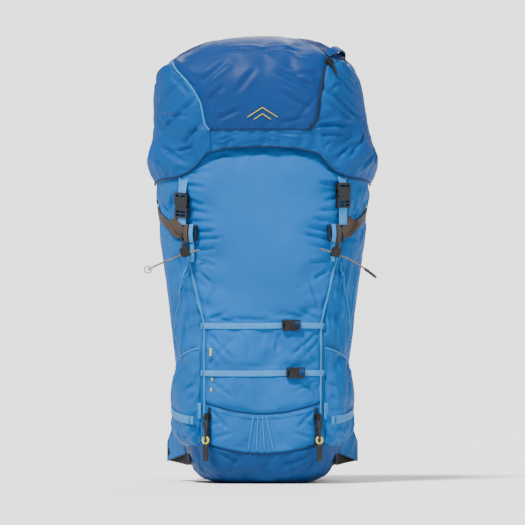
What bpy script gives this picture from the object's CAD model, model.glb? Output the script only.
import math

import bmesh
import bpy
import numpy as np
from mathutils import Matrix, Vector, noise
from mathutils.kdtree import KDTree


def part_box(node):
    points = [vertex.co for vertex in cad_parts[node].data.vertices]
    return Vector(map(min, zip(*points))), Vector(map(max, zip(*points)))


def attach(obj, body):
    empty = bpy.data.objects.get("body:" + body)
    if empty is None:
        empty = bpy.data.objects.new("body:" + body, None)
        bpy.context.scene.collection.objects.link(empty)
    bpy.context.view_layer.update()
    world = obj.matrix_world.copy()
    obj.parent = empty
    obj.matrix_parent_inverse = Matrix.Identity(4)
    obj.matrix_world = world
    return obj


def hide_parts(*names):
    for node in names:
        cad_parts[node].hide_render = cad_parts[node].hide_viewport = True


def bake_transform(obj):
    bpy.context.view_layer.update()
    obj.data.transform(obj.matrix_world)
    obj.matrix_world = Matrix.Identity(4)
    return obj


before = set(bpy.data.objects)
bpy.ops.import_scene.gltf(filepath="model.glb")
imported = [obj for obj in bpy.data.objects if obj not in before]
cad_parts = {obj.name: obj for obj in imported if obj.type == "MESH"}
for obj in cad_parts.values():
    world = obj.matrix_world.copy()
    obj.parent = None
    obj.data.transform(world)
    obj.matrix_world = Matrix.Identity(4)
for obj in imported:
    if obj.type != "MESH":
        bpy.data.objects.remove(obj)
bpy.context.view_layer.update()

# ---------------------------------------------------------------- driving sizes, in metres

# Cross-sections (height, half width, front y, back y) that the CAD walls follow
BAG = [
    (0.000, 0.088, -0.098, 0.078),
    (0.006, 0.106, -0.116, 0.092),
    (0.022, 0.126, -0.136, 0.100),
    (0.060, 0.143, -0.151, 0.104),
    (0.110, 0.152, -0.159, 0.105),
    (0.200, 0.156, -0.163, 0.105),
    (0.300, 0.164, -0.165, 0.105),
    (0.400, 0.177, -0.167, 0.105),
    (0.480, 0.190, -0.168, 0.105),
    (0.545, 0.199, -0.168, 0.105),
    (0.598, 0.201, -0.162, 0.105),
    (0.622, 0.193, -0.154, 0.105),
    (0.640, 0.182, -0.142, 0.103),
]
COLLAR = [(0.640, 0.182, -0.142, 0.103), (0.665, 0.168, -0.124, 0.097), (0.693, 0.150, -0.104, 0.086)]
LID = [
    (0.550, 0.210, -0.178, 0.117),
    (0.600, 0.211, -0.180, 0.117),
    (0.640, 0.199, -0.183, 0.117),
    (0.700, 0.198, -0.187, 0.117),
    (0.745, 0.190, -0.184, 0.114),
    (0.780, 0.170, -0.166, 0.104),
    (0.802, 0.140, -0.142, 0.088),
    (0.816, 0.108, -0.112, 0.068),
    (0.824, 0.070, -0.072, 0.040),
]
CORNER_FRONT = 3.2
CORNER_BACK = 4.5
BACK_DEPTH = 0.060
REAR_LINE = 0.080
BODY_TOP = 0.640
FRONT_SEAM = [(0.000, 0.104), (0.290, 0.106), (0.405, 0.133), (0.480, 0.150), (0.660, 0.152)]
WEB_20 = 0.018
WEB_10 = 0.011
WEB_THICK = 0.0016
HINGE_Y, HINGE_Z = 0.117, 0.554
# The two straps across the front: name, height and its buckle's x
FRONT_STRAPS = (("upper", 0.287, 0.052), ("lower", 0.201, 0.060))
# The side straps' ends in the side view: (y, z) at the back and at the front
UPPER_STRAP = ((0.0745, 0.5458), (-0.140, 0.456))
LOWER_STRAP = ((0.060, 0.148), (-0.130, 0.116))
SIDES = {"left": -1, "right": 1}
BACKWARD = (0.0, 1.0, 0.0)  # towards the wearer

# Light: the sky's strength on the pack and to the camera, and each sun's direction, spread and strength
SKY_LIGHT, SKY_SEEN = 0.42, 3.0
SUNS = [
    ("key_sun", (0.48, 0.82, -1.15), 14, 7.5),
    ("fill_sun", (-0.75, 0.75, -0.45), 40, 1.3),
    ("back_sun", (-0.15, -1.0, -0.70), 35, 1.6),
]

# ---------------------------------------------------------------- stage and camera


def make_stage():
    """Pale floor that runs into a bright sky, a soft key sun, a fill sun and a weak light from behind."""
    bm = bmesh.new()
    bmesh.ops.create_grid(bm, x_segments=2, y_segments=2, size=90.0)
    floor = mesh_object("studio_floor", bm)
    floor.location.z = -0.0005
    paint = bpy.data.materials.new("floor_paint")
    paint.use_nodes = True
    shader = paint.node_tree.nodes["Principled BSDF"]
    shader.inputs["Base Color"].default_value = (0.94, 0.94, 0.94, 1)
    shader.inputs["Roughness"].default_value = 0.95
    shader.inputs["Specular IOR Level"].default_value = 0.1
    floor.data.materials.append(paint)
    world = bpy.data.worlds.new("studio_sky")
    world.use_nodes = True
    nodes, links = world.node_tree.nodes, world.node_tree.links
    sky = nodes["Background"]
    sky.inputs["Color"].default_value = (1.0, 1.0, 1.0, 1)
    sky.inputs["Strength"].default_value = SKY_LIGHT
    seen = nodes.new("ShaderNodeBackground")
    seen.inputs["Strength"].default_value = SKY_SEEN
    ray = nodes.new("ShaderNodeLightPath")
    both = nodes.new("ShaderNodeMixShader")
    links.new(ray.outputs["Is Camera Ray"], both.inputs[0])
    links.new(sky.outputs[0], both.inputs[1])
    links.new(seen.outputs[0], both.inputs[2])
    links.new(both.outputs[0], nodes["World Output"].inputs["Surface"])
    bpy.context.scene.world = world
    for name, toward, spread, strength in SUNS:
        lamp = bpy.data.lights.new(name, "SUN")
        lamp.angle = math.radians(spread)
        lamp.energy = strength
        holder = bpy.data.objects.new(name, lamp)
        holder.rotation_euler = Vector(toward).to_track_quat("-Z", "Y").to_euler()
        bpy.context.scene.collection.objects.link(holder)


def make_camera():
    """Long lens, five metres in front of the pack and a little above the floor."""
    lens = bpy.data.cameras.new("camera")
    lens.lens = 183
    lens.sensor_width = 36
    lens.clip_end = 200
    camera = bpy.data.objects.new("camera", lens)
    camera.location = (0, -5.0, 0.12)
    aim = Vector((0, -0.03, 0.409)) - Vector(camera.location)
    camera.rotation_euler = aim.to_track_quat("-Z", "Y").to_euler()
    bpy.context.scene.collection.objects.link(camera)
    bpy.context.scene.camera = camera


# ---------------------------------------------------------------- mesh helpers


def mesh_object(name, bm):
    mesh = bpy.data.meshes.new(name)
    bm.to_mesh(mesh)
    bm.free()
    return link_mesh(name, mesh)


def link_mesh(name, mesh):
    for face in mesh.polygons:
        face.use_smooth = True
    made = bpy.data.objects.new(name, mesh)
    bpy.context.scene.collection.objects.link(made)
    return made


def raw_mesh(name, points, faces, coords=None):
    """Object from points and faces; coords gives each point's place on the cloth, in metres."""
    mesh = bpy.data.meshes.new(name)
    mesh.from_pydata([tuple(map(float, p)) for p in points], [], [tuple(map(int, f)) for f in faces])
    if coords is not None:
        layer = mesh.uv_layers.new(name="cloth")
        corner = np.zeros(len(mesh.loops), int)
        mesh.loops.foreach_get("vertex_index", corner)
        layer.data.foreach_set("uv", np.asarray(coords, float)[corner].ravel())
    return link_mesh(name, mesh)


def coords_of(mesh):
    values = np.zeros(len(mesh.vertices) * 3)
    mesh.vertices.foreach_get("co", values)
    return values.reshape(-1, 3)


def unit(vectors):
    return vectors / np.maximum(np.linalg.norm(vectors, axis=-1, keepdims=True), 1e-12)


def smooth(xs, ys, x):
    """Monotone cubic through the points, which never swings past them."""
    xs, ys = np.asarray(xs, float), np.asarray(ys, float)
    step = np.diff(xs)
    slope = np.diff(ys) / step
    tangent = np.zeros(len(xs))
    tangent[0], tangent[-1] = slope[0], slope[-1]
    for i in range(1, len(xs) - 1):
        if slope[i - 1] * slope[i] > 0:
            a, b = 2 * step[i] + step[i - 1], step[i] + 2 * step[i - 1]
            tangent[i] = (a + b) / (a / slope[i - 1] + b / slope[i])
    x = np.clip(x, xs[0], xs[-1])
    i = np.clip(np.searchsorted(xs, x) - 1, 0, len(step) - 1)
    t = (x - xs[i]) / step[i]
    rise = ys[i] * (1 + 2 * t) * (1 - t) ** 2 + ys[i + 1] * t * t * (3 - 2 * t)
    return rise + step[i] * (tangent[i] * t * (1 - t) ** 2 + tangent[i + 1] * t * t * (t - 1))


def ease(low, high, x):
    t = np.clip((np.asarray(x, float) - low) / (high - low), 0, 1)
    return t * t * (3 - 2 * t)


def between_levels(table, heights, low, high):
    """Points of even levels of a table, at the heights of each row and column."""
    place = (heights - low) / (high - low) * (len(table) - 1)
    row = np.clip(place.astype(int), 0, len(table) - 2)
    share = (place - row)[..., None]
    column = np.broadcast_to(np.arange(heights.shape[1]), heights.shape)
    return table[row, column] * (1 - share) + table[row + 1, column] * share


class Shell:
    """Smooth surface through cross-sections. An angle of -90 degrees is the middle of the front."""

    def __init__(self, levels):
        self.z, self.half, self.front, self.back = np.array(levels).T

    def size(self, z):
        """Half width, front y and back y of the cross-section at a height."""
        return tuple(smooth(self.z, column, z) for column in (self.half, self.front, self.back))

    def at(self, angle, z):
        half, front, back = self.size(z)
        middle = back - BACK_DEPTH
        c, s = np.cos(angle), np.sin(angle)
        power = 2 / np.where(s > 0, CORNER_BACK, CORNER_FRONT)
        depth = np.where(s > 0, BACK_DEPTH, middle - front)
        x = half * np.sign(c) * np.abs(c) ** power
        y = middle + depth * np.sign(s) * np.abs(s) ** power
        return np.stack(np.broadcast_arrays(x, y, z + 0.0 * x), -1)

    def front_angle(self, x, z):
        half = self.size(z)[0]
        share = np.minimum(np.abs(x) / half, 1.0) ** (CORNER_FRONT / 2)
        return -np.arccos(np.sign(x) * share)

    def side_angle(self, y, z):
        """Angle on the right side where the surface crosses y."""
        _, front, back = self.size(z)
        middle = back - BACK_DEPTH
        ahead = np.minimum(np.abs((y - middle) / (middle - front)), 1.0) ** (CORNER_FRONT / 2)
        behind = np.minimum(np.abs((y - middle) / BACK_DEPTH), 1.0) ** (CORNER_BACK / 2)
        return np.where(y < middle, -np.arcsin(ahead), np.arcsin(behind))

    def on_front(self, x, z, offset=0.0):
        x, z = np.broadcast_arrays(np.asarray(x, float), np.asarray(z, float))
        angle = self.front_angle(x, z)
        return self.at(angle, z) + self.normal(angle, z) * offset

    def trace(self, x, z, offset=0.0):
        """Points on the front, lifted off it, and their normals."""
        return self.on_front(x, z, offset), self.normal(self.front_angle(x, z), z)

    def on_side(self, y, z, sign, offset=0.0):
        y, z = np.broadcast_arrays(np.asarray(y, float), np.asarray(z, float))
        angle = self.side_angle(y, z)
        return (self.at(angle, z) + self.normal(angle, z) * offset) * (sign, 1, 1)

    def normal(self, angle, z):
        turn, rise = 0.004, 0.002
        around = self.at(angle + turn, z) - self.at(angle - turn, z)
        up = self.at(angle, z + rise) - self.at(angle, z - rise)
        return unit(np.cross(around, up))

    def span(self, z, start, end, count):
        """Evenly spaced points on one cross-section between two angles."""
        angles = np.linspace(start, end, 900)
        points = self.at(angles, z)
        run = np.concatenate([[0], np.cumsum(np.linalg.norm(np.diff(points, axis=0), axis=1))])
        even = np.linspace(0, run[-1], count + 1)
        return np.stack([np.interp(even, run, points[:, k]) for k in range(3)], -1)

    def patch(self, start, end, heights, columns):
        """Grid between two angles, which are functions of z, at the heights of each row and column."""
        low, high, step = heights.min(), heights.max(), 0.0025
        levels = np.linspace(low, high, max(2, int((high - low) / step) + 1))
        table = np.array([self.span(z, start(z), end(z), columns) for z in levels])
        return between_levels(table, heights, low, high)


bag, lid, collar = Shell(BAG), Shell(LID), Shell(COLLAR)


def look_up(table, x):
    return np.interp(x, *np.array(table).T)


def front_seam(z):
    return look_up(FRONT_SEAM, z)


def front_patch(heights, columns):
    """Grid of the bag's front panel, from seam to seam."""
    ends = [lambda z, sign=sign: bag.front_angle(sign * front_seam(z), z) for sign in (-1, 1)]
    return bag.patch(*ends, heights, columns)


def mirrored(grid, sign):
    """Grid made for the right side, turned over for the left."""
    return (grid * (-1, 1, 1))[:, ::-1] if sign < 0 else grid


def grid_normals(grid):
    across = np.gradient(grid, axis=1)
    along = np.gradient(grid, axis=0)
    return unit(np.cross(across, along))


def grid_faces(rows, columns):
    r, c = np.meshgrid(np.arange(rows), np.arange(columns), indexing="ij")
    a = (r * (columns + 1) + c).ravel()
    return np.stack([a, a + 1, a + columns + 2, a + columns + 1], -1)


def cloth_coords(grid):
    """Distance along the cloth of each point of a grid, both ways, in metres."""
    u = np.cumsum(np.linalg.norm(np.diff(grid, axis=1, prepend=grid[:, :1]), axis=2), axis=1)
    v = np.cumsum(np.linalg.norm(np.diff(grid, axis=0, prepend=grid[:1]), axis=2), axis=0)
    u = u - u[:, [u.shape[1] // 2]]
    return np.stack([u, v], -1).reshape(-1, 2)


# ---------------------------------------------------------------- cloth

CLOTHS = []
SIM_FRAMES = 16
CLOTH_PUSH = 1.2  # pressure under a sheet
CLOTH_THICK = 0.0012
CLOTH_RULES = {
    "quality": 4, "mass": 0.25, "tension_stiffness": 12, "compression_stiffness": 12, "shear_stiffness": 4,
    "bending_stiffness": 0.4, "air_damping": 2, "use_pressure": True,
}


def ripple(points, scale, seed):
    """Smooth noise at each point, from -1 to 1."""
    shift = Vector((seed * 7.31, seed * 3.17, seed * 5.71))
    values = [noise.noise(Vector(p) * scale + shift) for p in points.reshape(-1, 3)]
    return np.array(values).reshape(points.shape[:-1])


def cloth(name, grid, body, paint, nodes=(), pins=None, grow=0.05, cap=0.006, seed=1,
          thick=CLOTH_THICK):
    """Fabric sheet over a grid of points, which later swells and wrinkles between its pinned points."""
    rows, columns = grid.shape[0] - 1, grid.shape[1] - 1
    hold = np.zeros(grid.shape[:2])
    hold[0] = hold[-1] = 1
    hold[:, 0] = hold[:, -1] = 1
    if pins is not None:
        hold = np.maximum(hold, pins)
    normals = grid_normals(grid)
    start = grid + normals * (ripple(grid, 26, seed) * 0.0016 * (1 - hold))[..., None]
    made = raw_mesh(name, start.reshape(-1, 3), grid_faces(rows, columns), cloth_coords(grid))
    CLOTHS.append(
        {"obj": made, "base": grid.reshape(-1, 3), "normals": normals.reshape(-1, 3), "hold": hold.ravel(),
         "grow": grow, "cap": cap, "push": CLOTH_PUSH, "creases": [], "thick": thick}
    )
    dress(made, body, paint, nodes)
    return CLOTHS[-1]


def pad(name, node, body, inset=0.0012, cap=0.007, push=4.0):
    """Padded piece of spacer mesh that starts as a slightly smaller copy of its CAD solid and swells."""
    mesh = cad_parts[node].data.copy()
    mesh.name = name
    mesh.materials.clear()
    made = link_mesh(name, mesh)
    remesh = made.modifiers.new("even", "REMESH")
    remesh.mode = "VOXEL"
    remesh.voxel_size = 0.005
    apply_modifiers(made)
    normals = np.array([v.normal for v in made.data.vertices])
    base = coords_of(made.data) - normals * inset
    made.data.vertices.foreach_set("co", base.ravel())
    CLOTHS.append(
        {"obj": made, "base": base, "normals": normals, "hold": np.zeros(len(base)),
         "grow": 0.02, "cap": cap, "push": push, "creases": [], "thick": 0}
    )
    dress(made, body, "mesh", [node])


def apply_modifiers(obj):
    bpy.context.view_layer.update()
    graph = bpy.context.evaluated_depsgraph_get()
    mesh = bpy.data.meshes.new_from_object(obj.evaluated_get(graph))
    obj.modifiers.clear()
    old = obj.data
    obj.data = mesh
    for face in mesh.polygons:
        face.use_smooth = True
    if old.users == 0:
        bpy.data.meshes.remove(old)


def run_cloth():
    """Lets every sheet and pad swell and wrinkle at once, and keeps each point near its start."""
    scene = bpy.context.scene
    for item in CLOTHS:
        obj = item["obj"]
        group = obj.vertex_groups.new(name="pinned")
        for index, weight in enumerate(item["hold"]):
            if weight > 0:
                group.add([index], float(weight), "REPLACE")
        sim = obj.modifiers.new("cloth", "CLOTH")
        rules = sim.settings
        for name, value in CLOTH_RULES.items():
            setattr(rules, name, value)
        rules.shrink_min = -item["grow"]
        if item["thick"]:
            rules.vertex_group_mass = "pinned"
            rules.pin_stiffness = 1
        rules.uniform_pressure_force = item["push"]
        rules.effector_weights.gravity = 0
        sim.collision_settings.use_collision = False
        sim.point_cache.frame_end = SIM_FRAMES + 1
    for step in range(1, SIM_FRAMES + 1):
        scene.frame_set(step)
    graph = bpy.context.evaluated_depsgraph_get()
    for item in CLOTHS:
        obj = item["obj"]
        drift = coords_of(obj.evaluated_get(graph).data) - item["base"]
        far = np.linalg.norm(drift, axis=1, keepdims=True)
        drift *= np.minimum(1, item["cap"] * np.tanh(far / item["cap"]) / np.maximum(far, 1e-9))
        obj.modifiers.clear()
        obj.vertex_groups.clear()
        obj.data.vertices.foreach_set("co", (item["base"] + drift).ravel())
    scene.frame_set(1)


def crease(item, surface, start, end, depth, width):
    """Adds a fold to a sheet, along a surface given by a function of two coordinates."""
    share = np.linspace(0, 1, 9)[:, None]
    one, two = (np.asarray(start, float) * (1 - share) + np.asarray(end, float) * share).T
    item["creases"].append((surface(one, two), depth, width))


def press(item, surface, rows, *shape):
    """Adds a table of folds: both ends, then the depth and the width where the rows differ in them."""
    for x0, z0, x1, z1, *own in rows:
        crease(item, surface, (x0, z0), (x1, z1), *own, *shape)


def fold(points, path, depth, width):
    """Depth of a soft crease at each point: a valley along a path with a low ridge beside it."""
    shift = np.zeros(len(points))
    reach = 4 * width
    inside = np.all((points > path.min(0) - reach) & (points < path.max(0) + reach), axis=1)
    near = points[inside]
    best, place = np.full(len(near), np.inf), np.zeros(len(near))
    for k, (a, b) in enumerate(zip(path, path[1:])):
        along = b - a
        t = np.clip((near - a) @ along / (along @ along), 0, 1)
        away = np.linalg.norm(near - (a + t[:, None] * along), axis=1)
        closer = away < best
        best[closer], place[closer] = away[closer], (k + t[closer]) / (len(path) - 1)
    taper = np.clip(np.minimum(place, 1 - place) * 4, 0, 1)
    valley = np.exp(-((best / width) ** 2))
    ridge = np.exp(-(((best - 2.0 * width) / width) ** 2))
    shift[inside] = depth * taper * (0.5 * ridge - valley)
    return shift


def crease_depth(points, creases):
    """Deepest valley and highest ridge at each point, so that crossing folds make no pits."""
    low, high = np.zeros(len(points)), np.zeros(len(points))
    for path, depth, width in creases:
        shift = fold(points, path, depth, width)
        low, high = np.minimum(low, shift), np.maximum(high, shift)
    return low + high


def finish_cloth():
    """Makes every sheet finer, presses the creases in and gives the sheets their thickness."""
    for item in CLOTHS:
        obj = item["obj"]
        obj.data.attributes.new("hold", "FLOAT", "POINT").data.foreach_set("value", item["hold"])
        flat = obj.data.attributes.new("flat", "FLOAT_VECTOR", "POINT")
        flat.data.foreach_set("vector", item["base"].ravel())
        finer = obj.modifiers.new("finer", "SUBSURF")
        finer.levels = finer.render_levels = 1
        apply_modifiers(obj)
        mesh = obj.data
        points = coords_of(mesh)
        flat, held = np.zeros(points.size), np.zeros(len(points))
        mesh.attributes["hold"].data.foreach_get("value", held)
        mesh.attributes["flat"].data.foreach_get("vector", flat)
        for name in ("hold", "flat"):
            mesh.attributes.remove(mesh.attributes[name])
        normals = np.array([v.normal for v in mesh.vertices])
        shift = crease_depth(flat.reshape(-1, 3), item["creases"]) * (1 - np.clip(held, 0, 1))
        mesh.vertices.foreach_set("co", (points + normals * shift[:, None]).ravel())
        if item["thick"]:
            wall = obj.modifiers.new("thickness", "SOLIDIFY")
            wall.thickness = item["thick"]
            wall.offset = -1
        mesh.update()


def map_drift():
    """Lookup of how far each sheet has moved, for the trims that are sewn onto it."""
    count = sum(len(item["base"]) for item in CLOTHS)
    tree = KDTree(count)
    drifts, normals, k = np.zeros(count), np.zeros((count, 3)), 0
    for item in CLOTHS:
        drift = ((coords_of(item["obj"].data) - item["base"]) * item["normals"]).sum(1)
        drift += crease_depth(item["base"], item["creases"]) * (1 - np.clip(item["hold"], 0, 1))
        for point, far, normal in zip(item["base"], drift, item["normals"]):
            tree.insert(point, k)
            drifts[k], normals[k] = far, normal
            k += 1
    tree.balance()
    return tree, drifts, normals


def settle(obj):
    """Moves each point of a sewn-on trim with the fabric under it."""
    tree, drifts, normals = DRIFT
    for vertex in obj.data.vertices:
        near = tree.find_n(vertex.co, 4)
        weights = np.array([1 / (far + 0.0005) for _, _, far in near])
        index = [i for _, i, _ in near]
        drift = (drifts[index, None] * normals[index] * weights[:, None]).sum(0) / weights.sum()
        vertex.co += Vector(drift)
    return obj


# ---------------------------------------------------------------- tubes, ribbons and stitches


def spline(points, count):
    """Evenly spaced points on a smooth curve through the given ones."""
    points = np.asarray(points, float)
    if len(points) == 2:
        return points[0] + np.linspace(0, 1, count)[:, None] * (points[1] - points[0])
    padded = np.vstack([2 * points[0] - points[1], points, 2 * points[-1] - points[-2]])
    t = np.linspace(0, 1, 24, endpoint=False)[:, None]
    runs = []
    for a, b, c, d in zip(padded, padded[1:], padded[2:], padded[3:]):
        curve, twist = 2 * a - 5 * b + 4 * c - d, 3 * b - a - 3 * c + d
        runs.append(0.5 * (2 * b + (c - a) * t + curve * t**2 + twist * t**3))
    fine = np.vstack(runs + [points[-1:]])
    return resample(fine, count)


def straight(a, b, count=24, sag=0.0):
    a, b = np.asarray(a, float), np.asarray(b, float)
    t = np.linspace(0, 1, count)[:, None]
    return a + (b - a) * t - np.array([0, 0, 1.0]) * sag * 4 * t * (1 - t)


def resample(points, count):
    run = np.concatenate([[0], np.cumsum(np.linalg.norm(np.diff(points, axis=0), axis=1))])
    even = np.linspace(0, run[-1], count)
    return np.stack([np.interp(even, run, points[:, k]) for k in range(points.shape[1])], -1)


def path_frames(path, normals=None):
    """Tangent, side and normal at each point of a path."""
    tangent = unit(np.gradient(path, axis=0))
    if normals is None:
        normal = np.cross(tangent[0], (0.13, 0.31, 0.94))
        turned = []
        for t in tangent:
            normal = normal - t * (normal @ t)
            normal = normal / np.linalg.norm(normal)
            turned.append(normal)
        normals = np.array(turned)
    side = unit(np.cross(normals, tangent))
    return tangent, side, unit(np.cross(tangent, side))


def ring_faces(count, ring, closed=False):
    """Faces of a skin over rings of points, with its two ends closed."""
    faces = []
    for i in range(count if closed else count - 1):
        a, b = i * ring, (i + 1) % count * ring
        for k in range(ring):
            m = (k + 1) % ring
            faces.append((a + m, a + k, b + k, b + m))
    if not closed:
        faces += [tuple(range(ring)), tuple(reversed(range((count - 1) * ring, count * ring)))]
    return faces


def sweep(path, section, normals=None, closed=False):
    """Points, faces and cloth places of a section, in (side, normal) metres, carried along a path."""
    _, side, normal = path_frames(path, normals)
    section = np.asarray(section, float)
    count, ring = len(path), len(section)
    across, out = section[None, :, 0, None], section[None, :, 1, None]
    points = path[:, None] + across * side[:, None] + out * normal[:, None]
    run = np.concatenate([[0], np.cumsum(np.linalg.norm(np.diff(path, axis=0), axis=1))])
    coords = np.stack(np.broadcast_arrays(section[None, :, 0], run[:, None]), -1)
    return points.reshape(-1, 3), ring_faces(count, ring, closed), coords.reshape(-1, 2)


def joined(name, pieces):
    """One object from several (points, faces, coords)."""
    points, faces, coords, base = [], [], [], 0
    for p, f, c in pieces:
        points.append(p)
        coords.append(c)
        faces += [tuple(base + i for i in face) for face in f]
        base += len(p)
    return raw_mesh(name, np.vstack(points), faces, np.vstack(coords))


def dress(obj, body, paint, nodes=()):
    """Material, body, slot and replaced nodes of a new piece."""
    obj.data.materials.append(PAINTS[paint])
    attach(obj, body)
    if nodes:
        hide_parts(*nodes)
    return obj


def sew(name, pieces, body, paint, nodes=()):
    """New dressed piece from swept parts."""
    return dress(joined(name, pieces), body, paint, nodes)


def bend(name, pieces, paint, nodes=()):
    """New piece of webbing that bends between two bodies."""
    made = joined(name, pieces)
    made.data.materials.append(PAINTS[paint])
    if nodes:
        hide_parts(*nodes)
    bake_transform(made)


def round_section(radius, sides=8):
    angles = np.linspace(0, 2 * np.pi, sides, endpoint=False)
    return np.stack([radius * np.cos(angles), radius * np.sin(angles)], -1)


def web_section(width, thick):
    """Flat section with rounded edges and thin selvedges."""
    half, t = width / 2, thick / 2
    edge = 0.0011
    right = [(half - edge * 2, t), (half - edge, t * 0.82), (half - edge * 0.3, t * 0.9), (half, 0)]
    right += [(x, -y) for x, y in reversed(right[:-1])]
    return right + [(-x, -y) for x, y in right]


def tube(path, radius, sides=8, closed=False):
    return sweep(np.asarray(path, float), round_section(radius, sides), closed=closed)


def web(path, normals, width, thick=WEB_THICK):
    return sweep(np.asarray(path, float), web_section(width, thick), normals)


THREAD_R = 0.00042


def stitches(path, normals, pitch=0.0034, length=0.0022, radius=THREAD_R, lift=0.0002):
    """Row of thread stitches along a path."""
    path = np.asarray(path, float)
    total = np.linalg.norm(np.diff(path, axis=0), axis=1).sum()
    count = max(2, int(total / pitch))
    even = resample(path, count + 1)
    up = resample(np.asarray(normals, float), count + 1)
    pieces = []
    for a, b, n in zip(even, even[1:], up):
        ahead = (b - a) / np.linalg.norm(b - a)
        line = np.array([a + ahead * length * k for k in (0.0, 0.25, 0.75, 1.0)])
        line += n * np.array([-radius * 0.6, lift, lift, -radius * 0.6])[:, None]
        pieces.append(sweep(line, round_section(radius, 5), n))
    return pieces


def bar_tack(at, across, along, normal, width, depth=0.0035, rows=5):
    """Dense block of stitches that sews down the end of a strap."""
    pieces = []
    half = np.asarray(across) * width / 2
    for k in range(rows):
        middle = at + np.asarray(along) * depth * (k / (rows - 1) - 0.5)
        line = np.linspace(middle - half, middle + half, 3)
        pieces.append(sweep(line, round_section(THREAD_R, 5), normal))
    return pieces


# ---------------------------------------------------------------- materials


BRAID_PITCH = 0.0024  # between the strands of the braided cord
PLASTIC_GRAIN = 1400.0  # scale of the fine grain on moulded plastic
FOAM_CELL = 0.0042  # between the holes of the spacer mesh
THREAD_PITCH = 0.0009  # between the threads of plain cloth


class Paint:
    """Small helper around a material's nodes."""

    def __init__(self, name, rough, metal=0.0, sheen=0.0, coat=0.0):
        self.mat = bpy.data.materials.new(name)
        self.mat.use_nodes = True
        self.tree = self.mat.node_tree
        self.bsdf = self.tree.nodes["Principled BSDF"]
        self.bsdf.inputs["Roughness"].default_value = rough
        self.bsdf.inputs["Metallic"].default_value = metal
        self.bsdf.inputs["Sheen Weight"].default_value = sheen
        self.bsdf.inputs["Coat Weight"].default_value = coat

    def add(self, kind, values=None, **settings):
        node = self.tree.nodes.new(kind)
        for key, value in settings.items():
            setattr(node, key, value)
        for key, value in (values or {}).items():
            self.put(node.inputs[key], value)
        return node

    def put(self, socket, value):
        if isinstance(value, bpy.types.NodeSocket):
            self.tree.links.new(value, socket)
        else:
            socket.default_value = value

    def math(self, operation, a, b=0.0):
        return self.add("ShaderNodeMath", {0: a, 1: b}, operation=operation).outputs[0]

    def mix(self, share, a, b):
        node = self.add("ShaderNodeMix", data_type="RGBA")
        self.put(node.inputs[0], share)
        self.put(node.inputs[6], a)
        self.put(node.inputs[7], b)
        return node.outputs[2]

    def noise(self, place, scale, detail=2.0):
        inputs = {"Vector": place, "Scale": scale, "Detail": detail}
        return self.add("ShaderNodeTexNoise", inputs).outputs["Fac"]

    def bands(self, place, pitch, axis="X"):
        """Even threads with that pitch in metres."""
        return self.add(
            "ShaderNodeTexWave", {"Vector": place, "Scale": 0.31416 / pitch}, bands_direction=axis
        ).outputs["Fac"]

    def remap(self, value, low, high, to_low, to_high):
        node = self.add(
            "ShaderNodeMapRange",
            {"Value": value, "From Min": low, "From Max": high, "To Min": to_low, "To Max": to_high},
        )
        return node.outputs[0]

    def finish(self, color, rough, height, distance, strength):
        """Joins colour, roughness and bump to the shader, and returns the material."""
        self.put(self.bsdf.inputs["Base Color"], color)
        self.put(self.bsdf.inputs["Roughness"], rough)
        bump = self.add("ShaderNodeBump", {"Height": height, "Distance": distance, "Strength": strength})
        self.put(self.bsdf.inputs["Normal"], bump.outputs[0])
        return self.mat


def shade(color, factor):
    return tuple(min(1.0, c * factor) for c in color) + (1,)


def fabric(name, color, rough=0.60, grid=0.0052, relief=0.00035):
    """Woven nylon with a ripstop grid, soft crumples and faded patches."""
    p = Paint(name, rough)
    p.bsdf.inputs["Specular IOR Level"].default_value = 0.14
    source = p.add("ShaderNodeTexCoord")
    place = source.outputs["UV"]
    solid = source.outputs["Object"]
    warp, weft = (p.bands(place, THREAD_PITCH, axis) for axis in "XY")
    weave = p.math("MULTIPLY", p.math("ADD", warp, weft), 0.5)
    lines = p.add(
        "ShaderNodeTexBrick",
        {"Vector": place, "Scale": 1.0, "Mortar Size": 0.00035, "Mortar Smooth": 0.6, "Brick Width": grid,
         "Row Height": grid},
        offset=0.0,
    ).outputs["Fac"]
    cloud = p.noise(solid, 7.0, 3.0)
    fleck = p.noise(solid, 700.0, 1.0)
    slant = {"Vector": solid, "Scale": (1.0, 1.0, 0.62), "Rotation": (0.0, 0.3, 0.2)}
    warped = p.add("ShaderNodeMapping", slant)
    ridges = p.add(
        "ShaderNodeTexNoise",
        {"Vector": warped.outputs[0], "Scale": 17.0, "Detail": 4.0, "Roughness": 0.48, "Distortion": 0.6},
        noise_type="RIDGED_MULTIFRACTAL",
    ).outputs["Fac"]
    patch = p.remap(p.noise(solid, 9.0, 2.0), 0.38, 0.62, 0.25, 1.0)
    tone = p.mix(p.remap(cloud, 0.3, 0.7, 0.0, 1.0), shade(color, 0.84), shade(color, 1.12))
    tone = p.mix(p.math("MULTIPLY", lines, 0.20), tone, shade(color, 1.5))
    tone = p.mix(p.remap(weave, 0.0, 1.0, 0.16, 0.0), tone, shade(color, 0.5))
    tone = p.mix(p.remap(fleck, 0.35, 0.65, 0.0, 0.14), tone, shade(color, 1.35))
    height = p.math("ADD", p.math("MULTIPLY", weave, 0.25), p.math("MULTIPLY", lines, 0.55))
    height = p.math("ADD", height, p.math("MULTIPLY", p.noise(solid, 60.0, 3.0), 2.0))
    height = p.math("ADD", height, p.math("MULTIPLY", p.math("MULTIPLY", ridges, patch), 5.5))
    return p.finish(tone, p.remap(cloud, 0.2, 0.8, rough - 0.07, rough + 0.09), height, relief, 0.55)


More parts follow.
